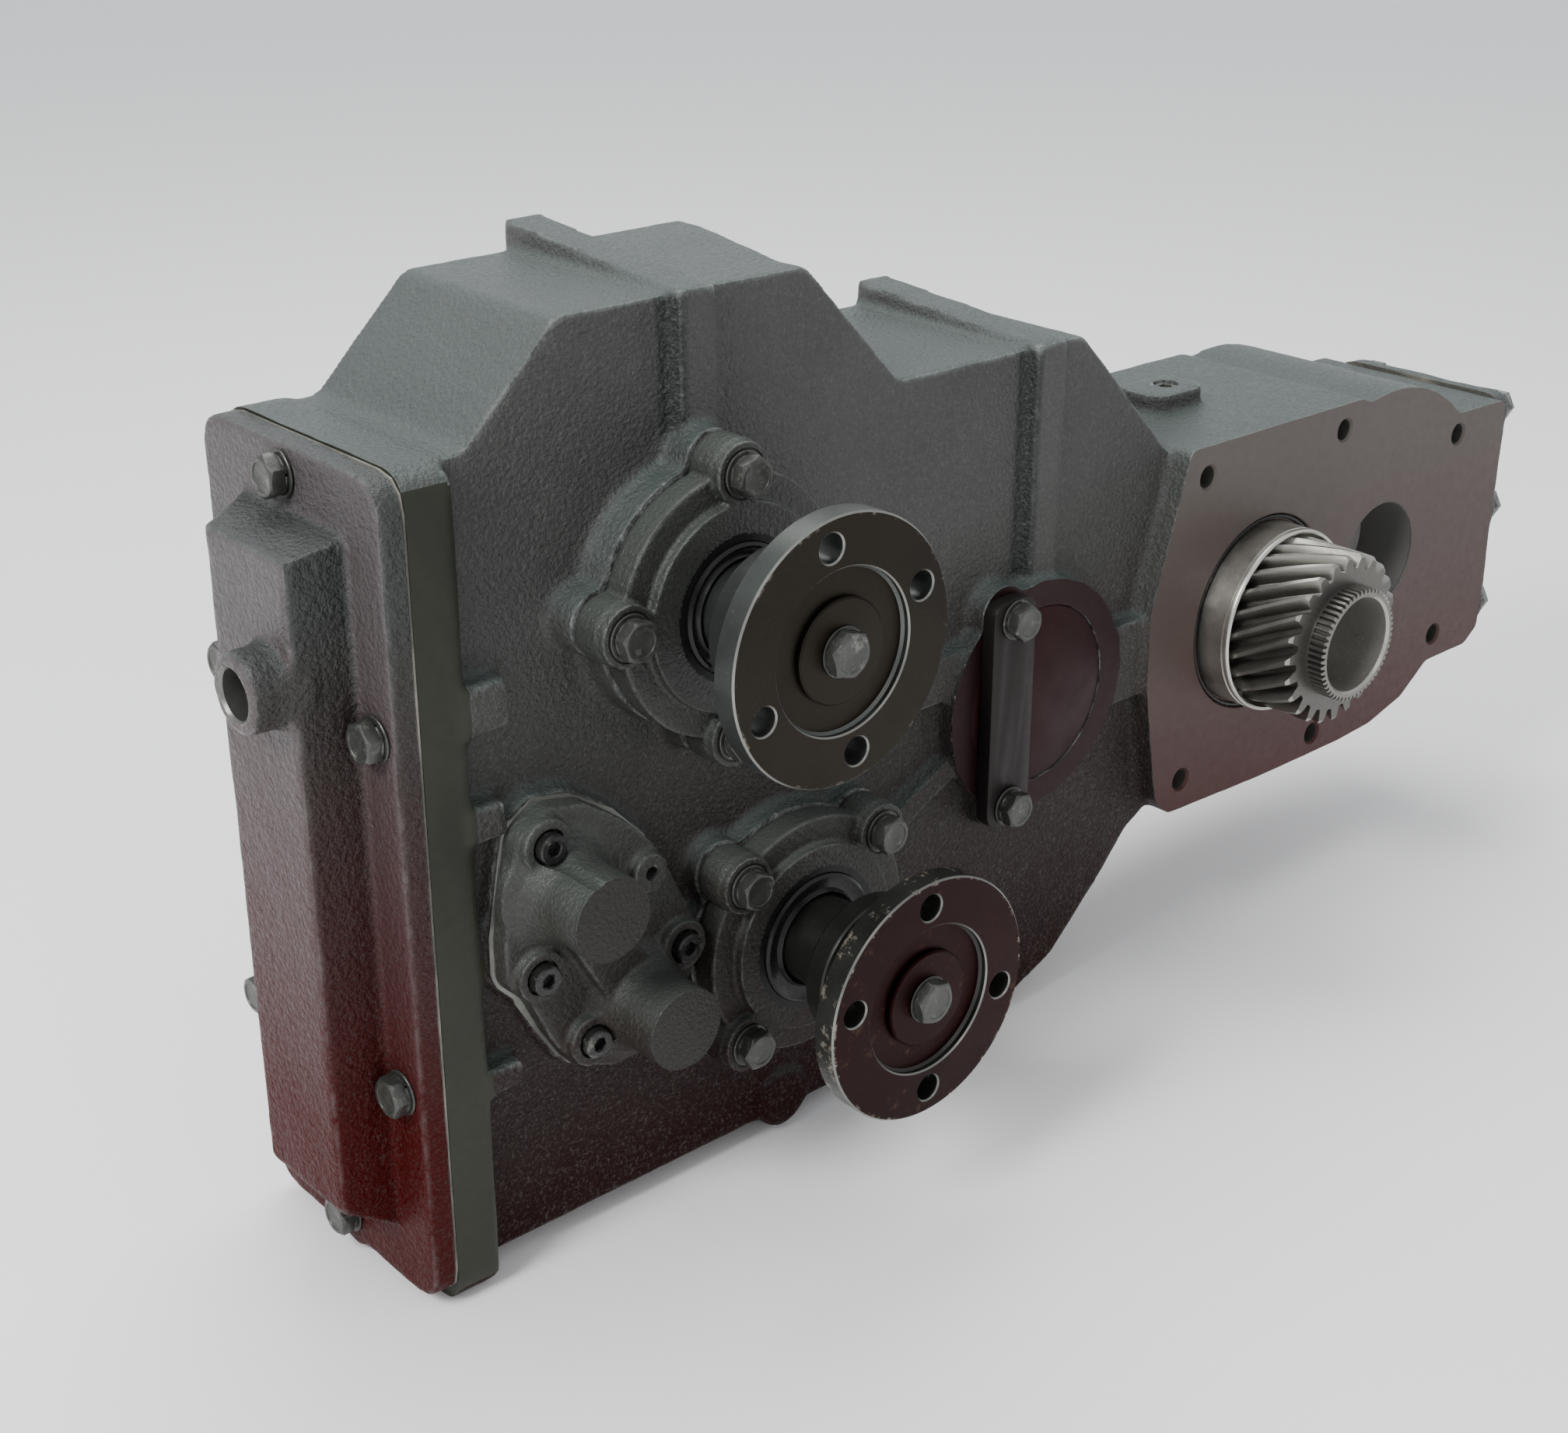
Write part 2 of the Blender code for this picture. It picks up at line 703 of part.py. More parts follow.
def hex_bolt_mesh(name, width, height, shank, length, washer=WASHER_RADIUS, washer_height=WASHER_HEIGHT):
    """A hex bolt with its washer in one piece. The washer's back face is at h = 0."""
    top = washer_height + height
    disc = new_object(name, cone_mesh(name, washer, 0, washer_height, 12))
    head_mesh = cone_mesh(f"{name}_head", width / math.sqrt(3), washer_height / 2, top, 6)
    head = new_object(f"{name}_head", head_mesh, hidden=True)
    shank_mesh = cone_mesh(f"{name}_shank", shank, -length, washer_height / 2, TAP_STEPS)
    stem = new_object(f"{name}_shank", shank_mesh, hidden=True)
    join(disc, head, stem)
    made = settled(disc)
    bpy.data.objects.remove(head)
    bpy.data.objects.remove(stem)
    return made


def cap_screw_mesh(name):
    """A socket-head cap screw. The head's underside is at h = 0."""
    top = CAP_HEAD_HEIGHT
    body = turned(
        name,
        [(0, top), (CAP_HEAD_RADIUS, top), (CAP_HEAD_RADIUS, 0), (4, 0), (4, -18), (0, -18)],
        TAP_STEPS,
        ring=False,
    )
    socket = rod(f"{name}_socket", 3.6, top - 4, top + 2, 6)
    cut(body, socket)
    made = settled(body)
    bpy.data.objects.remove(socket)
    return made


def add_fasteners():
    cover_bolt = hex_bolt_mesh("cover_bolt", HEAD_WIDTH, HEAD_HEIGHT, M10, SHANK_LENGTH)
    upper_seat = UPPER_BOSS_H + GAP + COVER_RIM + STAR_STEP + GAP
    lower_seat = LOWER_BOSS_H + GAP + COVER_RIM + STAR_STEP + GAP
    for k, centre in enumerate(front_lobes(UPPER_BOLT_TURN), 1):
        paint(new_object(f"upper_cover_bolt_{k}", cover_bolt, at=centre, h=upper_seat), BOLT_STEEL)
    for k, (u, v) in enumerate(front_lobes(LOWER_BOLT_TURN), 1):
        at = (LOWER_AXIS[0] + u, LOWER_AXIS[1] + v)
        paint(new_object(f"lower_cover_bolt_{k}", cover_bolt, at=at, h=lower_seat), BOLT_STEEL)
    short_bolt = hex_bolt_mesh("short_bolt", HEAD_WIDTH, HEAD_HEIGHT, M10, SHORT_SHANK)
    for k, centre in enumerate(KEEPER_BOLTS, 1):
        seat = IDLER_BOSS_H + KEEPER_THICKNESS + 2 * GAP
        paint(new_object(f"keeper_bolt_{k}", short_bolt, at=centre, h=seat), BOLT_STEEL)
    for k, (y, z) in enumerate(END_BOLTS, 1):
        paint(new_object(f"end_cover_bolt_{k}", short_bolt, LEFT, (-y, z), PLATE_FRONT + GAP), BOLT_STEEL)
    screw = cap_screw_mesh("shift_cover_screw")
    for k, centre in enumerate(SHIFT_SCREWS, 1):
        paint(new_object(f"shift_cover_screw_{k}", screw, at=centre, h=SHIFT_FLANGE_H + GAP), BOLT_STEEL)


# Covers.


def add_bearing_cover(name, axis, turn, boss_h, bore, seal_radius):
    low = boss_h + GAP
    lobes = quarter_turns(turn)
    rim = prism(name, lobed(COVER_RADIUS, LOBE_RADIUS, BOLT_CIRCLE, lobes), low, low + COVER_RIM, at=axis)
    star = prism(
        f"{name}_star",
        lobed(COVER_WAIST, LOBE_RADIUS - 0.8, BOLT_CIRCLE, lobes),
        low + COVER_RIM - 3,
        low + COVER_RIM + STAR_STEP,
        at=axis,
        hidden=True,
    )
    spigot = rod(f"{name}_spigot", bore, boss_h - 4, low + 2, at=axis)
    join(rim, star, spigot)
    cut(rim, rod(f"{name}_bore", seal_radius + GAP, boss_h - 10, low + 40, at=axis))
    cut(rim, *drill_holes(f"{name}_hole", front_lobes(turn), M10 + GAP, boss_h - 10, low + 40, at=axis))
    return paint(rim, CAST_PAINT)


def add_end_cover():
    outline = rounded(rectangle(*END_PLATE[0], *END_PLATE[1]), 16, 3)
    cover = prism("end_cover", outline, PLATE_BACK, PLATE_FRONT, LEFT, bevel=2)
    lug = rod("end_cover_lug", END_LUG_RADIUS, PLATE_BACK + 0.5, PLATE_FRONT - 1, 20, LEFT, END_LUG_AT)
    pan = tapered_box(
        "end_cover_pan", ((-98, -15), (-276, 56)), ((-75, -14), (-253, 51)), PLATE_FRONT - 5, PAN_FRONT, LEFT
    )
    softened = pan.modifiers.new("cast_edge", "BEVEL")
    softened.width = 3 * MM
    softened.segments = 1
    hollow = tapered_box(
        "end_cover_hollow", ((-88, -24), (-265, 46)), ((-68, -22), (-245, 43)), PLATE_BACK - 5, PAN_FRONT - 7, LEFT
    )
    port_at = (-PORT_AXIS[0], PORT_AXIS[1])
    port = rod("end_cover_port", PORT_RADIUS, PAN_FRONT - 4, PORT_FRONT, 20, LEFT, port_at)
    join(cover, lug, pan, port)
    cut(cover, hollow, rod("end_cover_port_hole", PORT_HOLE, PAN_FRONT - 20, PORT_FRONT + 5, 16, LEFT, port_at))
    holes = [(-y, z) for y, z in END_BOLTS]
    cut(cover, *drill_holes("end_cover_hole", holes, M10 + GAP, PLATE_BACK - 5, PLATE_FRONT + 5, LEFT))
    paint(cover, COVER_PAINT)

    window = rectangle(-105, -11, -274, 58)
    low = -FLANGE_X[0] + GAP
    gasket = prism("end_cover_gasket", outline, low, low + GASKET, LEFT)
    cut(gasket, prism("end_gasket_window", window, low - 5, low + 5, LEFT, hidden=True))
    cut(gasket, *drill_holes("end_gasket_hole", holes, M10 + GAP, low - 5, low + 5, LEFT))
    paint(gasket, GASKET_SHEET)


def add_right_cover():
    plate = rectangle(*RIGHT_PLATE[0], *RIGHT_PLATE[1])
    low = BLOCK_RIGHT_X + GAP
    gasket = prism("right_cover_gasket", rounded(plate, 8), low, low + GASKET, RIGHT)
    cut(gasket, prism("right_gasket_window", rectangle(12, 96, -172, -48), low - 5, low + 5, RIGHT, hidden=True))
    paint(gasket, GASKET_SHEET)
    cover = prism("right_cover", rounded(plate, 8), RIGHT_COVER_X, RIGHT_COVER_FRONT, RIGHT, bevel=2)
    paint(cover, CAST_PAINT)


def add_keeper():
    plate = prism(
        "keeper_bar",
        rounded(rectangle(*KEEPER_X, *KEEPER_Z), 9),
        IDLER_BOSS_H + GAP,
        IDLER_BOSS_H + GAP + KEEPER_THICKNESS,
        bevel=0.6,
    )
    cut(plate, *drill_holes("keeper_hole", KEEPER_BOLTS, M10 + GAP, 0, 40))
    paint(plate, DARK_STEEL)
    cap = rod("idler_cap", IDLER_BORE, 4, IDLER_BOSS_H - 0.6, at=IDLER_AXIS, hidden=False)
    paint(cap, DARK_STEEL)


def add_shift_cover():
    low = SHIFT_BOSS_H + 2 * GAP + GASKET
    cover = prism("shift_cover", shift_outline(15), low, SHIFT_FLANGE_H, bevel=1.5)
    for k, centre in enumerate(SHIFT_TUBES):
        tube = turned(
            f"shift_tube_{k}",
            [
                (0, SHIFT_TUBE_H),
                (SHIFT_TUBE_RADIUS, SHIFT_TUBE_H),
                (SHIFT_TUBE_RADIUS, SHIFT_FLANGE_H + 8),
                (SHIFT_TUBE_RADIUS + 5, SHIFT_FLANGE_H - 2),
                (0, SHIFT_FLANGE_H - 2),
            ],
            SHAFT_STEPS,
            at=centre,
            hidden=True,
            ring=False,
        )
        join(cover, tube)
    cut(cover, rod("shift_tube_bore", 11, low - 5, SHIFT_TUBE_H - 5, 16, at=SHIFT_TUBES[1]))
    cut(cover, *drill_holes("shift_cover_hole", SHIFT_SCREWS, 4 + GAP, 0, 40))
    seat_radius = CAP_HEAD_RADIUS + 1
    cut(cover, *drill_holes("shift_cover_seat", SHIFT_SCREWS, seat_radius, SHIFT_FLANGE_H, SHIFT_TUBE_H + 5))
    paint(cover, CAST_PAINT)
    gasket = prism("shift_cover_gasket", shift_outline(15.5), SHIFT_BOSS_H + GAP, SHIFT_BOSS_H + GAP + GASKET)
    cut(gasket, rod("shift_gasket_bore", 13, 0, 30, 16, at=SHIFT_TUBES[1]))
    cut(gasket, *drill_holes("shift_gasket_hole", SHIFT_SCREWS, 4 + GAP, 0, 40))
    paint(gasket, GASKET_SHEET)


def add_filler_plug():
    plug = rod("filler_plug", PLUG_RADIUS, -10, 3, 12, UP, PLUG_AT, hidden=False)
    cut(plug, rod("filler_plug_socket", 4, -2, 8, 6, UP, PLUG_AT))
    paint(plug, BOLT_STEEL)


# Shafts, gears and bearings.


def ring(name, inner, outer, low, high, finish, axis, steps=BORE_STEPS):
    profile = [(inner, high), (outer, high), (outer, low), (inner, low)]
    return paint(turned(name, profile, steps, at=axis), finish)


def add_gear(name, teeth, turn, axis, bore):
    gear = prism(name, gear_outline(teeth, MODULE, turn), GEAR_BACK_H, GEAR_FRONT_H, at=axis)
    cut(gear, rod(f"{name}_bore", bore + GAP, GEAR_BACK_H - 5, GEAR_FRONT_H + 5, SHAFT_STEPS, at=axis))
    paint(gear, GEAR_STEEL)


def add_output(name, axis, face_h, seal_radius, boss_h, hole_turn, bore, spline_hub):
    """A companion flange with its bolt and washer, the seal, the shaft and its two bearings."""
    disc_back = face_h - FLANGE_THICKNESS
    floor = face_h - PILOT_DEPTH
    hub_back = boss_h + 10
    neck_front = face_h - HUB_LENGTH
    flange = turned(
        f"{name}_flange",
        [
            (FLANGE_SEAT + GAP, floor),
            (PILOT_RADIUS, floor),
            (PILOT_RADIUS, face_h),
            (FLANGE_RADIUS, face_h),
            (FLANGE_RADIUS, disc_back),
            (HUB_RADIUS, disc_back),
            (HUB_RADIUS - 1, neck_front),
            (NECK_RADIUS, neck_front - 8),
            (NECK_RADIUS, hub_back),
            (FLANGE_SEAT + GAP, hub_back),
        ],
        DISC_STEPS,
        at=axis,
    )
    holes = [
        polar((0, 0), HOLE_CIRCLE, hole_turn + half + side * HOLE_SPREAD) for half in (0, HALF_TURN) for side in (-1, 1)
    ]
    cut(flange, *drill_holes(f"{name}_flange_hole", holes, HOLE_RADIUS, disc_back - 5, face_h + 5, at=axis))
    paint(flange, DARK_STEEL)

    washer_top = floor + GAP + 2.6
    ring(f"{name}_washer", 6 + GAP, 23.5, floor + GAP, washer_top, DARK_STEEL, axis, 24)
    centre_bolt = hex_bolt_mesh(f"{name}_centre_bolt", 19, 5, 6, 22, 11.5, 1)
    bolt = new_object(f"{name}_centre_bolt", centre_bolt, at=axis, h=washer_top + GAP)
    paint(bolt, BOLT_STEEL)

    ring(f"{name}_seal", NECK_RADIUS + GAP, seal_radius, boss_h + 11, boss_h + 23.3, RUBBER, axis)
    wide = SPLINE_HUB if spline_hub else GEAR_SEAT
    shaft_top = floor - 2
    shaft = turned(
        f"{name}_shaft",
        [
            (0, shaft_top - 20),
            (6 + GAP, shaft_top - 20),
            (6 + GAP, shaft_top),
            (FLANGE_SEAT, shaft_top),
            (FLANGE_SEAT, boss_h + 8),
            (SHAFT_RADIUS, boss_h + 8),
            (SHAFT_RADIUS, -13),
            (GEAR_SEAT, -13),
            (GEAR_SEAT, GEAR_BACK_H - 4),
            (wide, GEAR_BACK_H - 4),
            (wide, -94),
            (SHAFT_RADIUS, -94),
            (SHAFT_RADIUS, -116),
            (0, -116),
        ],
        SHAFT_STEPS,
        at=axis,
        ring=False,
    )
    paint(shaft, GEAR_STEEL)
    ring(f"{name}_front_bearing", SHAFT_RADIUS + GAP, bore, -10, boss_h - 5, GEAR_STEEL, axis)
    ring(f"{name}_rear_bearing", SHAFT_RADIUS + GAP, REAR_BORE, -117, -97, GEAR_STEEL, axis, SHAFT_STEPS)


def add_idler(turn):
    axis = IDLER_AXIS
    shaft = turned(
        "idler_shaft",
        [
            (0, 3),
            (SHAFT_RADIUS, 3),
            (SHAFT_RADIUS, -13),
            (GEAR_SEAT, -13),
            (GEAR_SEAT, -94),
            (SHAFT_RADIUS, -94),
            (SHAFT_RADIUS, -116),
            (0, -116),
        ],
        SHAFT_STEPS,
        at=axis,
        ring=False,
    )
    paint(shaft, GEAR_STEEL)
    ring("idler_front_bearing", SHAFT_RADIUS + GAP, IDLER_BORE, -10, 3.5, GEAR_STEEL, axis)
    ring("idler_rear_bearing", SHAFT_RADIUS + GAP, REAR_BORE, -117, -97, GEAR_STEEL, axis, SHAFT_STEPS)
    add_gear("idler_gear", IDLER_TEETH, turn, axis, GEAR_SEAT)


def input_gear_outline():
    made = []
    step = FULL_TURN / INPUT_TEETH
    for k in range(INPUT_TEETH):
        for radius, offset in ((INPUT_ROOT, -0.33), (INPUT_TIP, -0.1), (INPUT_TIP, 0.1), (INPUT_ROOT, 0.33)):
            made.append(polar((0, 0), radius, (k + offset) * step))
    return made


def add_input(turn):
    """The helical input gear with a dog ring pressed into it, on a shaft with an integral pinion."""
    axis = INPUT_AXIS
    floor = INPUT_BACK_H + INPUT_WEB
    gear = prism("input_gear", input_gear_outline(), INPUT_BACK_H, INPUT_FRONT_H, at=axis)
    work = bmesh.new()
    work.from_mesh(gear.data)
    bmesh.ops.bisect_plane(
        work,
        geom=work.verts[:] + work.edges[:] + work.faces[:],
        plane_co=(0, 0, (INPUT_BACK_H + INPUT_FRONT_H) / 2 * MM),
        plane_no=(0, 0, 1),
    )
    for vertex in work.verts:
        angle = -INPUT_TWIST_PER_MM * (vertex.co.z / MM - INPUT_FRONT_H)
        u, v = vertex.co.x, vertex.co.y
        vertex.co.x = u * math.cos(angle) - v * math.sin(angle)
        vertex.co.y = u * math.sin(angle) + v * math.cos(angle)
    work.to_mesh(gear.data)
    work.free()
    shade(gear.data)
    cut(
        gear,
        rod("input_gear_socket", DOG_RADIUS + GAP, floor, INPUT_FRONT_H + 5, DISC_STEPS, at=axis),
        rod("input_gear_seat", SPIGOT_RADIUS + GAP, INPUT_BACK_H - 5, floor + 5, SHAFT_STEPS, at=axis),
    )
    paint(gear, GEAR_STEEL)
    ring("input_dog_ring", INPUT_SOCKET, DOG_RADIUS, floor + GAP, DOG_FRONT_H, GEAR_STEEL, axis, DISC_STEPS)

    shaft = prism("input_shaft", gear_outline(PINION_TEETH, MODULE, turn), GEAR_BACK_H, GEAR_FRONT_H, at=axis)
    spindle = turned(
        "input_spindle",
        [
            (0, floor + 4),
            (SPIGOT_RADIUS, floor + 4),
            (SPIGOT_RADIUS, INPUT_BACK_H - 4),
            (26, INPUT_BACK_H - 4),
            (26, -10),
            (32, -10),
            (32, GEAR_BACK_H - 6),
            (SHAFT_RADIUS, GEAR_BACK_H - 6),
            (SHAFT_RADIUS, -110),
            (0, -110),
        ],
        SHAFT_STEPS,
        at=axis,
        hidden=True,
        ring=False,
    )
    join(shaft, spindle)
    paint(shaft, GEAR_STEEL)
    bearing = turned(
        "input_bearing",
        [
            (49.6, INPUT_RING_H),
            (INPUT_BORE, INPUT_RING_H),
            (INPUT_BORE, -6),
            (26 + GAP, -6),
            (26 + GAP, 16),
            (49.6, 16),
        ],
        BORE_STEPS,
        at=axis,
    )
    paint(bearing, GEAR_STEEL)
    ring("input_rear_bearing", SHAFT_RADIUS + GAP, REAR_BORE, -117, -96, GEAR_STEEL, axis, SHAFT_STEPS)


def add_shift_parts():
    rail_axis = SHIFT_TUBES[1]
    paint(rod("shift_rail", RAIL_RADIUS, *RAIL_H, 12, at=rail_axis, hidden=False), GEAR_STEEL)
    middle = sum(GROOVE_H) / 2
    fork = prism("shift_fork", circle(LOWER_AXIS, SLEEVE_RADIUS + 9, 24), middle - 3.2, middle + 3.2)
    arm_outline = bar(rail_axis, (LOWER_AXIS[0] - 30, LOWER_AXIS[1]), 22)
    arm = prism("shift_fork_arm", arm_outline, middle - 3, middle + 3, hidden=True)
    hub = rod("shift_fork_hub", RAIL_RADIUS + 6, middle - 10, middle + 10, 12, at=rail_axis)
    join(fork, arm, hub)
    mouth = rectangle(LOWER_AXIS[0] + 8, LOWER_AXIS[0] + 80, LOWER_AXIS[1] - 70, LOWER_AXIS[1] + 70)
    cut(
        fork,
        rod("shift_fork_eye", SLEEVE_GROOVE + 1, middle - 20, middle + 20, at=LOWER_AXIS),
        prism("shift_fork_mouth", mouth, middle - 20, middle + 20, hidden=True),
        rod("shift_fork_bore", RAIL_RADIUS + GAP, middle - 20, middle + 20, 12, at=rail_axis),
    )
    paint(fork, GEAR_STEEL)
    low, high = SLEEVE_H
    sleeve = turned(
        "shift_sleeve",
        [
            (SPLINE_HUB + GAP, high),
            (SLEEVE_RADIUS, high),
            (SLEEVE_RADIUS, GROOVE_H[1]),
            (SLEEVE_GROOVE, GROOVE_H[1]),
            (SLEEVE_GROOVE, GROOVE_H[0]),
            (SLEEVE_RADIUS, GROOVE_H[0]),
            (SLEEVE_RADIUS, low),
            (SPLINE_HUB + GAP, low),
        ],
        BORE_STEPS,
        at=LOWER_AXIS,
    )
    paint(sleeve, GEAR_STEEL)


def build():
    add_housing()
    add_end_cover()
    add_right_cover()
    add_bearing_cover(
        "upper_bearing_cover", UPPER_AXIS, UPPER_BOLT_TURN, UPPER_BOSS_H, UPPER_BORE, UPPER_SEAL_RADIUS
    )
    add_bearing_cover(
        "lower_bearing_cover", LOWER_AXIS, LOWER_BOLT_TURN, LOWER_BOSS_H, LOWER_BORE, LOWER_SEAL_RADIUS
    )
    add_keeper()
    add_shift_cover()
    add_filler_plug()
    add_fasteners()
    add_output(
        "upper", UPPER_AXIS, UPPER_FACE_H, UPPER_SEAL_RADIUS, UPPER_BOSS_H, UPPER_HOLE_TURN, UPPER_BORE, False
    )
    add_output(
        "lower", LOWER_AXIS, LOWER_FACE_H, LOWER_SEAL_RADIUS, LOWER_BOSS_H, LOWER_HOLE_TURN, LOWER_BORE, True
    )
    idler_turn = 0.0
    add_idler(idler_turn)
    add_gear(
        "upper_gear",
        UPPER_TEETH,
        meshing_turn(idler_turn, IDLER_TEETH, IDLER_AXIS, UPPER_TEETH, UPPER_AXIS),
        UPPER_AXIS,
        GEAR_SEAT,
    )
    add_gear(
        "lower_gear",
        LOWER_TEETH,
        meshing_turn(idler_turn, IDLER_TEETH, IDLER_AXIS, LOWER_TEETH, LOWER_AXIS),
        LOWER_AXIS,
        GEAR_SEAT,
    )
    add_input(meshing_turn(idler_turn, IDLER_TEETH, IDLER_AXIS, PINION_TEETH, INPUT_AXIS))
    add_shift_parts()


build()
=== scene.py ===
import json
import math

import bmesh
import bpy
import numpy as np
from mathutils import Matrix, Vector


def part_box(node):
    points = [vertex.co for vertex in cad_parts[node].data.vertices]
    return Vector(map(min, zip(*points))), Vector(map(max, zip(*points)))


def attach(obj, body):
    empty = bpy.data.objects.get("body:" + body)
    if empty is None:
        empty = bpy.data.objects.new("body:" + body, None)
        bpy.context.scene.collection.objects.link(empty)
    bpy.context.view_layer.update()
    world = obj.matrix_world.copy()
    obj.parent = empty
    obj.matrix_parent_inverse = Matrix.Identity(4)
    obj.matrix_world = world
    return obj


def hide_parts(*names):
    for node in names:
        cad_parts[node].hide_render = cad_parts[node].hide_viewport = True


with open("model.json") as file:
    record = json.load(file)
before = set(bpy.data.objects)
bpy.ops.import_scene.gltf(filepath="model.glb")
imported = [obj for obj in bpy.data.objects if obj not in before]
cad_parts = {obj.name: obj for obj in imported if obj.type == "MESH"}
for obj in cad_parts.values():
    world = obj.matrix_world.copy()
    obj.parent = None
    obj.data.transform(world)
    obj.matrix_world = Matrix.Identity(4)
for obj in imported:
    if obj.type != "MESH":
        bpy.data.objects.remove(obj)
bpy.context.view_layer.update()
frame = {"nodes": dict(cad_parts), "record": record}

# Lengths are millimetres in the design frame: its origin is where the upper output axis meets the front
# face, X runs along the long side, Z is up and -Y is the front. h is the height in front of a face.

MM = 0.001
TURN = 2 * math.pi
FRONT, LEFT, RIGHT, UP = "front", "left", "right", "up"

UPPER_FACE_H = 103.4
LOWER_FACE_H = 107.4
UPPER_BOSS_H = 16.7
LOWER_BOSS_H = 10
IDLER_BOSS_H = 12
BLOCK_FACE_H = 14
CAVITY_BACK = -105.4
UPPER_AXIS = (0.0, 0.0)
IDLER_AXIS = (221.2, -math.sqrt(248**2 - 221.2**2))
LOWER_AXIS = (IDLER_AXIS[0] - math.sqrt(184**2 - (-183.6 - IDLER_AXIS[1]) ** 2), -183.6)
INPUT_AXIS = (IDLER_AXIS[0] + 180, IDLER_AXIS[1])
POCKET_AXIS = (512.0, -106.5)
UPPER_TURN = math.radians(87.5)
LOWER_TURN = math.radians(45)
BOLT_CIRCLE = 60
PILOT_DEPTH = 4
WASHER = 2.6
COVER_SEAT = 20
END_PLATE = 11
BOLT_HOLE = 5.3
SCREW_HOLE = 4.3
FLANGE_X = (-147, -124)
BLOCK_X = 630.6
GAP = 0.3

# The two ribs over the top: left edge, right edge and the lower end of each on the front.

RIB_1 = (-6, 15, 66)
RIB_2 = (216, 238, -60)

flange_low, flange_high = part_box("upper_flange")
ORIGIN = Vector(
    (
        (flange_low[0] + flange_high[0]) / 2,
        flange_low[1] + UPPER_FACE_H * MM,
        (flange_low[2] + flange_high[2]) / 2,
    )
)


# Outlines, as lists of (u, v).


def polar(centre, radius, angle):
    return (centre[0] + radius * math.cos(angle), centre[1] + radius * math.sin(angle))


def arc(centre, radius, start, end, steps):
    return [polar(centre, radius, start + (end - start) * k / steps) for k in range(steps + 1)]


def circle(centre, radius, steps):
    """A ring of points, which also makes a hexagon with six steps."""
    return [polar(centre, radius, TURN * k / steps) for k in range(steps)]


def rectangle(u0, u1, v0, v1):
    return [(u0, v0), (u1, v0), (u1, v1), (u0, v1)]


def inset(outline, wall):
    """An anticlockwise outline moved inwards by the wall."""
    made = []
    for k, point in enumerate(outline):
        before = np.subtract(point, outline[k - 1])
        after = np.subtract(outline[(k + 1) % len(outline)], point)
        a = np.array((-before[1], before[0])) / np.hypot(*before)
        b = np.array((-after[1], after[0])) / np.hypot(*after)
        made.append(tuple(np.array(point) + (a + b) * wall / (1 + a @ b)))
    return made


def rounded(outline, radius, steps=4):
    """The outline with each corner replaced by a curve of about the radius."""
    made = []
    count = len(outline)
    for k, (x, y) in enumerate(outline):
        a = np.subtract(outline[k - 1], (x, y))
        b = np.subtract(outline[(k + 1) % count], (x, y))
        la, lb = np.hypot(*a), np.hypot(*b)
        corner = math.acos(max(-1, min(1, a @ b / la / lb)))
        reach = min(radius / math.tan(corner / 2), 0.45 * la, 0.45 * lb)
        start, end, middle = (x, y) + a / la * reach, (x, y) + b / lb * reach, np.array((x, y))
        for j in range(steps + 1):
            t = j / steps
            made.append(tuple((1 - t) ** 2 * start + 2 * t * (1 - t) * middle + t * t * end))
    return made


def lobed(radius, lobe, reach, angles):
    """A circle with a round lobe at each angle, whose centre is at the reach."""
    on_circle = math.acos((radius**2 + reach**2 - lobe**2) / 2 / radius / reach)
    on_lobe = math.acos((radius**2 - reach**2 - lobe**2) / 2 / reach / lobe)
    made = []
    for k, angle in enumerate(angles):
        made += arc(polar((0, 0), reach, angle), lobe, angle - on_lobe, angle + on_lobe, 14)
        following = angles[k + 1] if k + 1 < len(angles) else angles[0] + TURN
        made += arc((0, 0), radius, angle + on_circle, following - on_circle, 14)[1:-1]
    return made


def quarter_turns(first):
    return [first + k * math.pi / 2 for k in range(4)]


def bar(start, end, width):
    """A straight strip of the given width between two points."""
    along = np.subtract(end, start)
    side = np.array((-along[1], along[0])) / np.hypot(*along) * width / 2
    return [tuple(np.array(p) + s) for p, s in ((start, -side), (end, -side), (end, side), (start, side))]


# Solids, as (points, faces) in the design frame.


def placed(points, facing):
    u, v, h = np.asarray(points, float).T
    places = {FRONT: (u, -h, v), LEFT: (-h, -u, v), RIGHT: (h, u, v), UP: (u, v, h)}
    return np.stack(places[facing], axis=1)


def prism(outline, low, high, facing=FRONT, at=(0, 0), top=None):
    """An outline extruded from low to high. top, if given, is the outline at the high end."""
    count = len(outline)
    points = [(u + at[0], v + at[1], low) for u, v in outline]
    points += [(u + at[0], v + at[1], high) for u, v in top or outline]
    faces = [tuple(range(count))[::-1], tuple(range(count, 2 * count))]
    faces += [(k, (k + 1) % count, count + (k + 1) % count, count + k) for k in range(count)]
    return placed(points, facing), faces


def turned(profile, steps=64, facing=FRONT, at=(0, 0)):
    """A closed profile of (radius, h) points turned about the axis at `at`."""
    points, faces, rings = [], [], []
    for radius, h in profile:
        if radius < 1e-6:
            rings.append([len(points)] * steps)
            points.append((at[0], at[1], h))
        else:
            rings.append(list(range(len(points), len(points) + steps)))
            points += [(*polar(at, radius, TURN * k / steps), h) for k in range(steps)]
    for k, ring in enumerate(rings):
        after = rings[(k + 1) % len(rings)]
        for j in range(steps):
            corners = (ring[j], ring[(j + 1) % steps], after[(j + 1) % steps], after[j])
            face = tuple(dict.fromkeys(corners))
            if len(face) > 2:
                faces.append(face)
    return placed(points, facing), faces


def rod(radius, low, high, at=(0, 0), facing=FRONT, steps=48):
    return turned([(0, high), (radius, high), (radius, low), (0, low)], steps, facing, at)


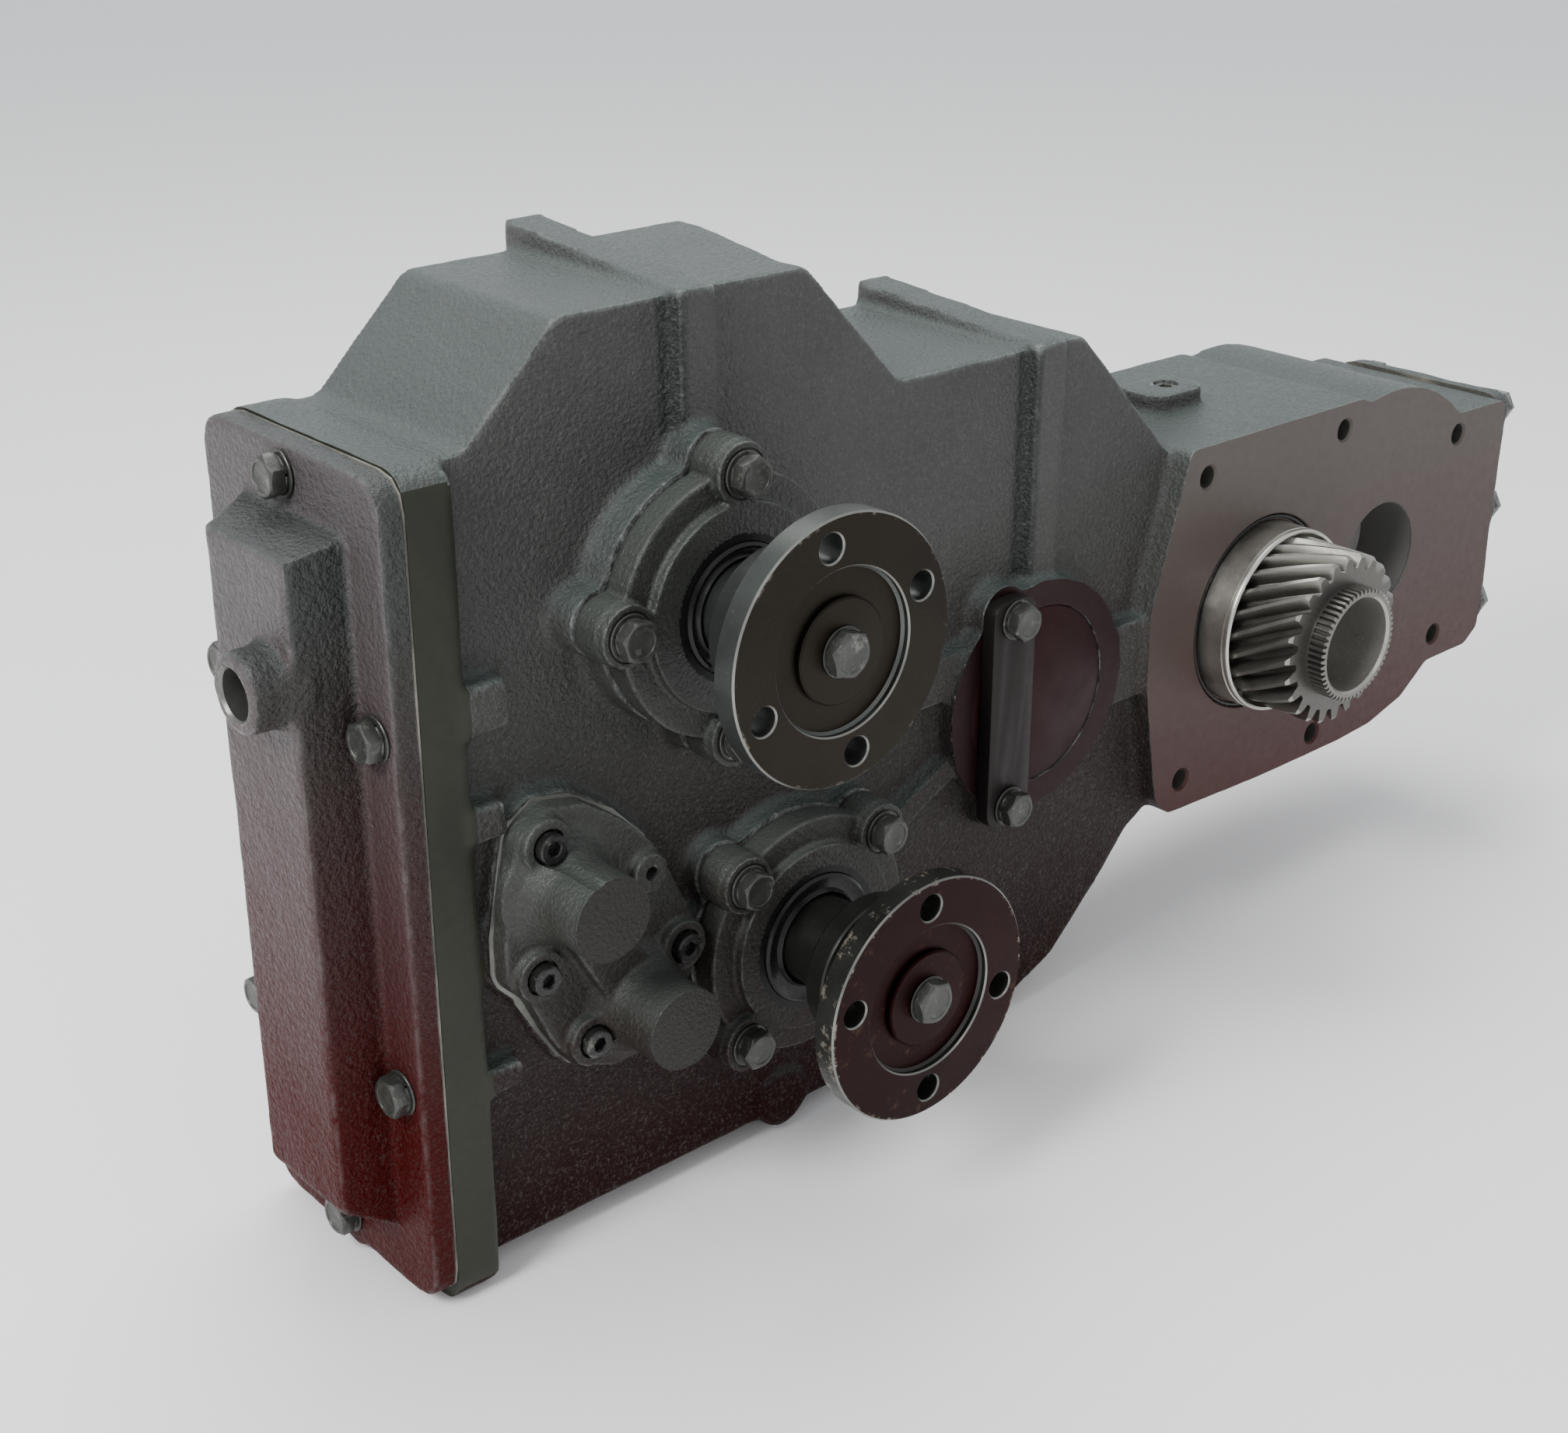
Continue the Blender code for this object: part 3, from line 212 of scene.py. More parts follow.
def chamfered_hole(radius, mouth, floor, edge, face, above, steps, facing=FRONT, at=(0, 0)):
    """A cutter for a hole that opens out from the radius to the mouth between edge and face."""
    profile = [(0, floor), (radius, floor), (radius, edge), (mouth, face), (mouth, above), (0, above)]
    return turned(profile, steps, facing, at)


def box(x0, x1, y0, y1, z0, z1):
    return prism(rectangle(x0, x1, z0, z1), -y1, -y0)


def mesh_of(name, solids):
    work = bmesh.new()
    for points, faces in solids:
        verts = [work.verts.new(ORIGIN + Vector(p) * MM) for p in points]
        made = [work.faces.new([verts[k] for k in face]) for face in faces]
        bmesh.ops.recalc_face_normals(work, faces=made)
    mesh = bpy.data.meshes.new(name)
    work.to_mesh(mesh)
    work.free()
    return mesh


def linked(name, data):
    """A new object in the scene."""
    obj = bpy.data.objects.new(name, data)
    bpy.context.scene.collection.objects.link(obj)
    return obj


def object_of(name, solids):
    return linked(name, mesh_of(name, solids))


def applied(obj):
    """Gives obj its evaluated mesh, with no modifiers left."""
    graph = bpy.context.evaluated_depsgraph_get()
    mesh = bpy.data.meshes.new_from_object(obj.evaluated_get(graph))
    obj.modifiers.clear()
    old = obj.data
    obj.data = mesh
    bpy.data.meshes.remove(old)
    return obj


def boolean(obj, operation, solids):
    other = object_of("tool", solids)
    step = obj.modifiers.new("cut", "BOOLEAN")
    step.operation = operation
    step.solver = "MANIFOLD"
    step.object = other
    before = len(obj.data.polygons)
    applied(obj)
    if len(obj.data.polygons) < 4:
        raise RuntimeError(f"{obj.name}: a cut from {before} faces left nothing")
    bpy.data.objects.remove(other)
    return obj


def cut(obj, *solids):
    return boolean(obj, "DIFFERENCE", solids)


def join(obj, *solids):
    for solid in solids:
        boolean(obj, "UNION", [solid])
    return obj


def wave_field(points, size, seed, waves=14):
    """Smooth unevenness of about the given size in metres, between -1 and 1."""
    rng = np.random.default_rng(seed)
    total = np.zeros(len(points))
    for _ in range(waves):
        direction = rng.normal(size=3)
        direction *= TURN / size / np.linalg.norm(direction) * rng.uniform(0.6, 1.5)
        total += np.sin(points @ direction + rng.uniform(0, TURN))
    return total / math.sqrt(waves) / 1.4


def rows(items, what):
    """One vector for each vertex, normal or face, as an array."""
    data = np.empty(len(items) * 3)
    items.foreach_get(what, data)
    return data.reshape(-1, 3)


def cast_form(name, solids, voxel, smoothing, wobble=0.35, seed=1):
    """The solids as one casting: joined, with every edge and corner rounded and its surfaces uneven."""
    obj = object_of(name, solids)
    remesh = obj.modifiers.new("join", "REMESH")
    remesh.mode = "VOXEL"
    remesh.voxel_size = voxel * MM
    smooth = obj.modifiers.new("round", "SMOOTH")
    smooth.factor = 0.5
    smooth.iterations = smoothing
    applied(obj)
    points, normals = rows(obj.data.vertices, "co"), rows(obj.data.vertex_normals, "vector")
    lift = wave_field(points, 0.045, seed) * wobble + wave_field(points, 0.014, seed + 50) * wobble * 0.4
    points += normals * (lift * MM)[:, None]
    obj.data.vertices.foreach_set("co", points.ravel())
    return obj


def shade(obj, angle=34):
    """Smooth shading, with edges over the angle in degrees kept sharp."""
    obj.data.shade_smooth()
    obj.data.set_sharp_from_angle(angle=math.radians(angle))
    return obj


def bevelled(obj, width, segments=2, angle=40):
    edge = obj.modifiers.new("edge", "BEVEL")
    edge.width = width * MM
    edge.segments = segments
    edge.limit_method = "ANGLE"
    edge.angle_limit = math.radians(angle)
    edge.harden_normals = False
    return applied(obj)


def slots_of(obj):
    slots = np.zeros(len(obj.data.polygons), dtype=np.int32)
    obj.data.polygons.foreach_get("material_index", slots)
    return slots


def assign(obj, test, index):
    """Gives a material slot to the faces for which test(centres, normals) is true, in design millimetres."""
    centres = (rows(obj.data.polygons, "center") - np.array(ORIGIN)) / MM
    slots = slots_of(obj)
    slots[test(centres, rows(obj.data.polygons, "normal"))] = index
    obj.data.polygons.foreach_set("material_index", slots)
    obj.data.update()


def off_axis(centres, axis):
    """Each face's distance from a front-to-back axis."""
    return np.hypot(centres[:, 0] - axis[0], centres[:, 2] - axis[1])


def finished(obj, materials, node, body):
    """Puts materials on a piece that stands for a CAD node, and lets it ride on that node's body."""
    slots = slots_of(obj)
    obj.data.materials.clear()
    for material in materials:
        obj.data.materials.append(material)
    obj.data.polygons.foreach_set("material_index", slots % len(materials))
    if node:
        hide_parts(*([node] if isinstance(node, str) else node))
    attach(obj, body)
    return obj


# Materials.


class Finish:
    """A Principled material built from procedural nodes in object space."""

    def __init__(self, name, color, roughness, metallic=0.0):
        self.material = bpy.data.materials.new(name)
        self.material.use_nodes = True
        self.tree = self.material.node_tree
        self.shader = self.tree.nodes["Principled BSDF"]
        self.shader.inputs["Base Color"].default_value = (*color, 1)
        self.shader.inputs["Roughness"].default_value = roughness
        self.shader.inputs["Metallic"].default_value = metallic
        self.place = self.add("ShaderNodeTexCoord").outputs["Object"]
        self.normal = None

    def add(self, kind, inputs=None, **settings):
        made = self.tree.nodes.new(kind)
        for key, value in settings.items():
            setattr(made, key, value)
        for key, value in (inputs or {}).items():
            self.feed(made.inputs[key], value)
        return made

    def feed(self, socket, value):
        """Links a socket to another node's output, or gives it a fixed value."""
        if isinstance(value, bpy.types.NodeSocket):
            self.tree.links.new(value, socket)
        elif socket.type == "RGBA":
            socket.default_value = (*value, 1)
        else:
            socket.default_value = value

    def noise(self, scale, detail=3.0, roughness=0.55, vector=None):
        inputs = {"Vector": vector or self.place, "Scale": scale, "Detail": detail, "Roughness": roughness}
        return self.add("ShaderNodeTexNoise", inputs).outputs["Fac"]

    def stretched(self, x, y, z):
        return self.add("ShaderNodeMapping", {"Vector": self.place, "Scale": (x, y, z)}).outputs["Vector"]

    def mapped(self, value, low, high, to_low=0.0, to_high=1.0):
        inputs = {"Value": value, "From Min": low, "From Max": high, "To Min": to_low, "To Max": to_high}
        return self.add("ShaderNodeMapRange", inputs).outputs["Result"]

    def math(self, operation, a, b=0.0):
        made = self.add("ShaderNodeMath", operation=operation)
        for socket, value in zip(made.inputs, (a, b)):
            self.feed(socket, value)
        return made.outputs[0]

    def mix(self, factor, a, b):
        made = self.add("ShaderNodeMix", data_type="RGBA")
        for socket, value in ((made.inputs[0], factor), (made.inputs[6], a), (made.inputs[7], b)):
            self.feed(socket, value)
        return made.outputs[2]

    def split(self, vector):
        return self.add("ShaderNodeSeparateXYZ", {"Vector": vector}).outputs

    def edges(self, low=0.51, high=0.56):
        """One on sharp outer edges and zero elsewhere."""
        pointy = self.add("ShaderNodeNewGeometry").outputs["Pointiness"]
        return self.mapped(pointy, low, high)

    def radius_from(self, axis):
        """The distance in metres from a front-to-back axis."""
        x, z = ORIGIN.x + axis[0] * MM, ORIGIN.z + axis[1] * MM
        parts = self.split(self.place)
        dx, dz = self.math("SUBTRACT", parts["X"], x), self.math("SUBTRACT", parts["Z"], z)
        squares = self.math("ADD", self.math("MULTIPLY", dx, dx), self.math("MULTIPLY", dz, dz))
        return self.math("SQRT", squares)

    def rising(self, low, high, at_low, at_high):
        """A value that changes with height, from low to high in millimetres of the design frame."""
        z = self.split(self.place)["Z"]
        return self.mapped(z, ORIGIN.z + low * MM, ORIGIN.z + high * MM, at_low, at_high)

    def graded(self, color, tint, low, high):
        """Mixes in the tint towards the low height."""
        return self.mix(self.rising(low, high, 1.0, 0.0), color, tint)

    def facing(self, part, low, high):
        """One where the part X, Y or Z of the surface's normal reaches high, and zero at low."""
        normal = self.add("ShaderNodeNewGeometry").outputs["Normal"]
        return self.mapped(self.split(normal)[part], low, high)

    def left_of_rib(self, x, foot):
        """One on the left side of an upright rib on the front, with its edge at x and its end at foot."""
        parts = self.split(self.place)
        away = self.math("ABSOLUTE", self.math("SUBTRACT", parts["X"], ORIGIN.x + (x - 1.5) * MM))
        front = self.mapped(parts["Y"], ORIGIN.y + 5 * MM, ORIGIN.y + 1 * MM)
        side = self.math("MULTIPLY", self.mapped(away, 7 * MM, 3.5 * MM), front)
        return self.math("MULTIPLY", side, self.rising(foot - 6, foot + 6, 0.0, 1.0))

    def bump(self, value, distance, strength=1.0):
        inputs = {"Height": value, "Distance": distance, "Strength": strength}
        if self.normal:
            inputs["Normal"] = self.normal
        self.normal = self.add("ShaderNodeBump", inputs).outputs["Normal"]
        self.tree.links.new(self.normal, self.shader.inputs["Normal"])

    def set(self, socket, value):
        self.tree.links.new(value, self.shader.inputs[socket])
        return self


def cast_paint(
    name,
    color,
    painted_top_light,
    worn,
    low_red_reflection,
    low,
    high,
    grain=430,
    gloss=0.38,
    relief=0.002,
    specular=0.28,
    left=None,
    ribs=(),
):
    """Paint over a sand casting: fine grains with light flecks that are partly painted glints, a few dents,
    worn edges that also carry painted highlight, painted light on upward faces, painted sheen on faces
    turned left, painted red reflection towards the bottom and painted shade beside the ribs.
    """
    made = Finish(name, color, gloss)
    soft = made.mapped(made.noise(11, 4, 0.55), 0.35, 0.68)
    base = made.mix(soft, tuple(0.84 * c for c in color), tuple(1.1 * c for c in color))
    # Faces turned to the left get the left colour: painted sheen that stands for the lamp's reflection on
    # them.
    if left:
        base = made.mix(made.facing("X", -0.5, -0.85), base, left)
    # Towards the bottom the colour turns to the low red: painted reflection of red light from below, which
    # also darkens the lower parts as painted shade.
    base = made.graded(base, low_red_reflection, low, high)
    for x, _, foot in ribs:
        shadow = made.math("MULTIPLY", made.left_of_rib(x, foot), 0.85)
        base = made.mix(shadow, base, (0.008, 0.0105, 0.0098))
    made.set("Specular IOR Level", made.rising(low, high, 0.06, specular))
    # Light flecks in the colour: partly grain tone, partly painted glints on the grain.
    flecks_and_glints = made.mapped(made.noise(650, 2, 0.6), 0.52, 0.72)
    base = made.mix(made.math("MULTIPLY", flecks_and_glints, 0.4), base, tuple(2.3 * c for c in color))
    # Faces turned upwards are made lighter: painted light from above.
    base = made.mix(made.math("MULTIPLY", made.facing("Z", 0.15, 0.9), 0.8), base, painted_top_light)
    # Sharp edges take the pale worn colour in patches: partly paint wear, partly painted edge highlight.
    edge_wear_and_highlight = made.math("MULTIPLY", made.edges(0.525, 0.585), made.mapped(made.noise(90, 4, 0.7), 0.38, 0.6))
    made.set("Base Color", made.mix(made.math("MULTIPLY", edge_wear_and_highlight, 0.75), base, worn))
    made.set("Roughness", made.mapped(made.noise(380, 3, 0.65), 0.3, 0.7, gloss - 0.1, gloss + 0.16))
    made.bump(made.noise(48, 2, 0.5), 0.0009, 0.4)
    made.bump(made.noise(grain, 3, 0.6), relief, 0.9)
    return made.material


def machined(name, color, stain, roughness, metallic, streaks=(1, 1, 14), low_red_reflection=None, grain=0.3):
    """A cut and oiled face: fine streaks and faint stains."""
    made = Finish(name, color, roughness, metallic)
    made.shader.inputs["Specular IOR Level"].default_value = 0.2
    fine = made.noise(260, 4, 0.6, made.stretched(*streaks))
    stains = made.mapped(made.noise(7, 4, 0.55), 0.3, 0.72)
    shade_of = made.mix(stains, stain, color)
    # Towards the bottom the colour turns to the low red: painted reflection of red light from below.
    if low_red_reflection:
        shade_of = made.graded(shade_of, low_red_reflection, -230, -20)
    shade_of = made.mix(made.mapped(fine, 0.3, 0.8, 0.0, grain), shade_of, tuple(0.7 * c for c in color))
    made.set("Base Color", shade_of)
    made.set("Roughness", made.mapped(made.noise(180, 4, 0.6), 0.3, 0.7, roughness - 0.05, roughness + 0.08))
    made.bump(fine, 0.00012, 0.6)
    made.bump(made.noise(900, 2, 0.6), 0.0001, 0.4)
    return made.material


def turned_steel(name, axis, color, roughness, metallic=0.9, rim=None, rust=None, bright=0.4):
    """Turned steel: rings round the axis, a thin oil film, fine pits and a rubbed outer edge that also
    carries painted highlight.
    """
    made = Finish(name, color, roughness, metallic)
    made.shader.inputs["Specular IOR Level"].default_value = 0.16
    radius = made.radius_from(axis)
    rings = made.math("SINE", made.math("MULTIPLY", radius, 9000.0))
    film = made.mapped(made.noise(14, 4, 0.5), 0.3, 0.7)
    color_of = made.mix(film, tuple(0.78 * c for c in color), tuple(1.12 * c for c in color))
    pits = made.mapped(made.noise(520, 3, 0.7), 0.58, 0.72)
    color_of = made.mix(made.math("MULTIPLY", pits, 0.25), color_of, tuple(2.2 * c for c in color))
    if rust:
        spots = made.mapped(made.noise(120, 5, 0.7), 0.6, 0.68)
        color_of = made.mix(made.math("MULTIPLY", spots, 0.5), color_of, rust)
    # Near the rim the colour brightens in chips: partly rubbed metal, partly painted edge highlight.
    if rim:
        chips = made.mapped(made.noise(150, 4, 0.75), 0.56, 0.64)
        band = made.mapped(radius, rim - 0.0022, rim - 0.0008)
        worn = made.math("MULTIPLY", made.math("MULTIPLY", chips, band), bright)
        color_of = made.mix(worn, color_of, (0.42, 0.37, 0.29))
    made.set("Base Color", color_of)
    made.set("Roughness", made.mapped(made.noise(60, 4, 0.6), 0.3, 0.72, roughness - 0.05, roughness + 0.1))
    made.bump(rings, 0.00003, 0.35)
    made.bump(made.noise(500, 3, 0.6), 0.00012, 0.35)
    return made.material


def gear_finish(name, axis, root, tip, roughness):
    """Ground teeth: lighter on the lands and darker towards the root radius in metres."""
    made = Finish(name, (0.6, 0.59, 0.55), roughness, 0.9)
    depth = made.mapped(made.radius_from(axis), root, tip)
    cloud = made.mapped(made.noise(45, 5, 0.6), 0.3, 0.72, 0.75, 1.0)
    color = made.mix(made.math("MULTIPLY", depth, cloud), (0.16, 0.155, 0.14), (0.33, 0.325, 0.295))
    made.set("Base Color", color)
    made.set("Roughness", made.mapped(made.noise(90, 4, 0.6), 0.3, 0.7, roughness - 0.04, roughness + 0.1))
    made.bump(made.noise(700, 2, 0.6, made.stretched(1, 0.06, 1)), 0.00008, 0.6)
    return made.material


def rubber(name):
    """Oily black rubber."""
    made = Finish(name, (0.012, 0.012, 0.012), 0.3)
    made.shader.inputs["Specular IOR Level"].default_value = 0.22
    made.set("Roughness", made.mapped(made.noise(160, 4, 0.6), 0.3, 0.7, 0.14, 0.36))
    made.set("Base Color", made.mix(made.noise(60, 3, 0.5), (0.005, 0.005, 0.005), (0.014, 0.0135, 0.013)))
    made.bump(made.noise(240, 2, 0.5), 0.0003, 0.5)
    return made.material


def fibre(name, dark, light):
    """Pressed sheet with flecks and pale patches."""
    made = Finish(name, light, 0.75)
    flecks = made.mapped(made.noise(600, 4, 0.7), 0.35, 0.7)
    wide = made.mapped(made.noise(24, 4, 0.6), 0.45, 0.7)
    made.set("Base Color", made.mix(wide, made.mix(flecks, dark, light), tuple(2.4 * c for c in light)))
    made.set("Roughness", made.mapped(made.noise(300, 3, 0.6), 0.3, 0.7, 0.6, 0.85))
    made.bump(made.noise(800, 3, 0.6), 0.0002, 0.7)
    return made.material


def bolt_finish(name, base, worn, roughness=0.34):
    """Paint over plated steel, rubbed through on the corners and flecked on the flats."""
    made = Finish(name, base, roughness, 0.5)
    rub = made.mapped(made.noise(110, 5, 0.75), 0.58, 0.7, 0.0, 0.55)
    flecks = made.mapped(made.noise(330, 4, 0.7), 0.58, 0.72)
    color = made.mix(made.math("MULTIPLY", flecks, 0.4), base, worn)
    made.set("Base Color", made.mix(rub, color, worn))
    made.set("Roughness", made.mapped(made.noise(200, 4, 0.6), 0.3, 0.7, roughness - 0.1, roughness + 0.2))
    made.bump(made.noise(420, 3, 0.6), 0.0003, 0.5)
    return made.material


# Colours are linear. The dark red mixed into the lower parts is painted reflection of red light from below,
# darker than the paint above.

REFLECTED_RED = (0.0135, 0.0018, 0.0015)
EVEN = (1, 1, 1)
PAINT = cast_paint(
    "housing_paint",
    color=(0.044, 0.045, 0.042),
    painted_top_light=(0.062, 0.078, 0.073),
    worn=(0.27, 0.29, 0.28),
    low_red_reflection=REFLECTED_RED,
    low=-285,
    high=0,
    ribs=(RIB_1, RIB_2),
)
COVER = cast_paint(
    "end_cover_paint",
    color=(0.024, 0.027, 0.025),
    painted_top_light=(0.04, 0.044, 0.042),
    worn=(0.2, 0.2, 0.195),
    low_red_reflection=(0.042, 0.0028, 0.0026),
    low=-215,
    high=30,
    grain=360,
    gloss=0.35,
    relief=0.0023,
    specular=0.34,
    # painted sheen: the lighter colour of faces turned to the left
    left=(0.058, 0.049, 0.05),
)
DARK_PAINT = cast_paint(
    "cover_paint",
    color=(0.03, 0.032, 0.028),
    painted_top_light=(0.054, 0.061, 0.055),
    worn=(0.2, 0.21, 0.195),
    low_red_reflection=REFLECTED_RED,
    low=-300,
    high=-90,
    grain=470,
    gloss=0.34,
    relief=0.0011,
)
FACE = machined(
    "machined_face",
    (0.09, 0.076, 0.068),
    (0.08, 0.068, 0.061),
    0.42,
    0.25,
    low_red_reflection=(0.04, 0.0045, 0.0035),
)
# The pocket's floor and wall are one machined metal: the floor's lighter colour is partly painted light, the
# wall's darker colour partly painted shade.
RECESS = machined("recess_floor", (0.3, 0.295, 0.28), (0.24, 0.236, 0.226), 0.45, 0.05)
RECESS_WALL = machined("recess_wall", (0.13, 0.127, 0.122), (0.1, 0.098, 0.094), 0.45, 0.2)
EDGE_STRIP = machined(
    "flange_edge", (0.032, 0.034, 0.024), (0.021, 0.023, 0.017), 0.45, 0.25, EVEN, grain=0.6
)
# The dark red of the idler boss face, and the slight red of the keeper, are painted reflection of red light
# from below.
BOSS_FACE = machined("boss_face", (0.021, 0.0075, 0.0082), (0.017, 0.0058, 0.0064), 0.42, 0.6)
KEEPER_STEEL = machined("keeper_steel", (0.023, 0.019, 0.0185), (0.018, 0.014, 0.014), 0.4, 0.5, (14, 14, 1))
SEAT_DARK = machined("seal_seat", (0.009, 0.0095, 0.009), (0.006, 0.0065, 0.006), 0.34, 0.2, EVEN)
UPPER_STEEL = turned_steel("upper_flange_steel", UPPER_AXIS, (0.0175, 0.0138, 0.0098), 0.36, 0.8, 0.06)
UPPER_SIDE = turned_steel("upper_flange_side", UPPER_AXIS, (0.085, 0.092, 0.086), 0.34, 0.85)
# The lower flange face's dark red is painted reflection of red light from below.
LOWER_STEEL = turned_steel(
    "lower_flange_steel",
    LOWER_AXIS,
    (0.0125, 0.0012, 0.0012),
    0.36,
    0.85,
    rim=0.06,
    rust=(0.07, 0.035, 0.02),
    bright=0.75,
)
LOWER_SIDE = turned_steel("lower_flange_side", LOWER_AXIS, (0.04, 0.041, 0.037), 0.36, 0.8, 0.06, None, 0.6)
# The flange chamfers take a bright steel colour: partly rubbed bare metal, partly painted edge highlight.
RUBBED = machined("rubbed_edge", (0.26, 0.26, 0.24), (0.11, 0.11, 0.1), 0.32, 0.9, EVEN, grain=0.5)
# The idler cap's dark red is painted reflection of red light from below.
IDLER_STEEL = turned_steel("idler_cap_steel", IDLER_AXIS, (0.021, 0.0062, 0.0072), 0.4, 0.7)
RING_STEEL = turned_steel("bearing_ring_steel", INPUT_AXIS, (0.56, 0.55, 0.5), 0.34, 1.0)
GEAR = gear_finish("input_gear_steel", INPUT_AXIS, 0.0405, 0.0482, 0.3)
INNER_STEEL = machined("inner_steel", (0.42, 0.41, 0.38), (0.25, 0.24, 0.22), 0.3, 1.0)
BORE = turned_steel("bore_steel", INPUT_AXIS, (0.4, 0.39, 0.36), 0.3, 0.75)
GEAR_FACE = machined("gear_face", (0.13, 0.127, 0.115), (0.1, 0.097, 0.089), 0.36, 0.8, EVEN)
SEAL = rubber("oil_seal_rubber")
SHEET = fibre("gasket_fibre", (0.04, 0.038, 0.032), (0.085, 0.08, 0.066))
BEAD = fibre("sealant_bead", (0.07, 0.072, 0.064), (0.11, 0.113, 0.1))
BOLT = bolt_finish("bolt_paint", (0.05, 0.052, 0.046), (0.26, 0.25, 0.22))
DARK_BOLT = bolt_finish("screw_black", (0.022, 0.023, 0.021), (0.24, 0.24, 0.21), 0.28)
HOLE_DARK = machined("drilled_hole", (0.2, 0.2, 0.185), (0.13, 0.13, 0.12), 0.36, 0.8)
TUBE_END = cast_paint(
    "tube_end_paint",
    color=(0.019, 0.0178, 0.0155),
    painted_top_light=(0.05, 0.05, 0.045),
    worn=(0.019, 0.0178, 0.0155),
    low_red_reflection=REFLECTED_RED,
    low=-400,
    high=-280,
    grain=520,
    gloss=0.36,
    relief=0.0014,
    specular=0.2,
)


# Housing.

MAIN_OUTLINE = [(-130, -299), (224, -299), (256, -285), (291, -252), (315, -225), (330, -217), (330, -8)]
MAIN_OUTLINE += [(257, 68), (129, 69), (71, 131), (-64, 131), (-112, 84), (-130, 84)]
HUMP_RADIUS = 101.5
HUMP = (math.acos((581.5 - POCKET_AXIS[0]) / HUMP_RADIUS), math.radians(103))
BLOCK_OUTLINE = [(321, -205), (332, -216), (410, -219), (488, -219), (522, -216.5), (553, -208), (577, -190)]
BLOCK_OUTLINE += [(618, -190), (BLOCK_X, -181), (BLOCK_X, -33), *arc(POCKET_AXIS, HUMP_RADIUS, *HUMP, 16)]
BLOCK_OUTLINE += [(480, -4), (331, -4), (305.7, -90.5), (307.5, -137)]
BLOCK_CAVITY = [(300, -200), (484, -206), (548, -198), (570, -180), (660, -176), (660, -44), (578, -44)]
BLOCK_CAVITY += [(530, -18), (484, -16), (300, -16)]
REAR_STEP = [(160, -212), (330, -212), (330, -8), (257, 69), (129, 69)]
SLOPE_SWELL = [(50, 88), (111, 88), (90, 131), (50, 131)]
SLOPE_FLUSH = [(50, 88), (111, 88), (71, 131), (50, 131)]
PADS = ((-126, -104, -33, -11), (-126, -108, -82, -66), (-126, -106, -207, -195))
AXES = (UPPER_AXIS, LOWER_AXIS, IDLER_AXIS, INPUT_AXIS)
BORES = (45.3, 42.3, 48.3, 52.8)
UPPER_BOLTS = [polar(UPPER_AXIS, BOLT_CIRCLE, angle) for angle in quarter_turns(UPPER_TURN)]
LOWER_BOLTS = [polar(LOWER_AXIS, BOLT_CIRCLE, angle) for angle in quarter_turns(LOWER_TURN)]
SHIFT_SCREWS = ((-96, -87.5), (-102, -149.5), (-76, -192), (-23.5, -163))
SHIFT_TUBES = ((-87, -113), (-49, -182.4))
KEEPER_REACH = 58.4
KEEPER_ANGLES = (math.radians(118.2), math.radians(241.8))
KEEPER_TOP = 20.3
SHIFT_FRONT = 20
KEEPER_BOLTS = [polar(IDLER_AXIS, KEEPER_REACH, angle) for angle in KEEPER_ANGLES]
PORT = (-31, -4)
FILLER_PAD = (386, 55)
FILLER_PLUG = (390, 55)
VENT = (-42, -119)
END_BOLTS = ((61, 71), (2.5, -27), (118, -28), (3.5, -196), (118, -196), (60, -289))
FACE_HOLES = ((346, -21.5), (466, -19.5), (582.4, -45.2), (581.5, -173.8), (463.6, -206), (342, -198.2))


def shift_outline(margin):
    """The shift cover's two lobes, drawn in at the waist between the tubes."""
    corners = [(-108, -82), (-92, -74), (-72, -78), (-52, -93), (-36, -110), (-24, -134), (-12, -158)]
    corners += [(-16, -180), (-34, -206), (-60, -213), (-84, -203), (-95, -184), (-104, -164)]
    corners += [(-116, -152), (-116, -130)]
    centre = np.mean(corners, axis=0)
    grown = []
    for corner in corners:
        away = np.subtract(corner, centre)
        grown.append(tuple(np.array(corner) + away / np.hypot(*away) * margin))
    return rounded(grown, 12, 3)


def nearest_face_hole(centres):
    return np.min([off_axis(centres, hole) for hole in FACE_HOLES], axis=0)


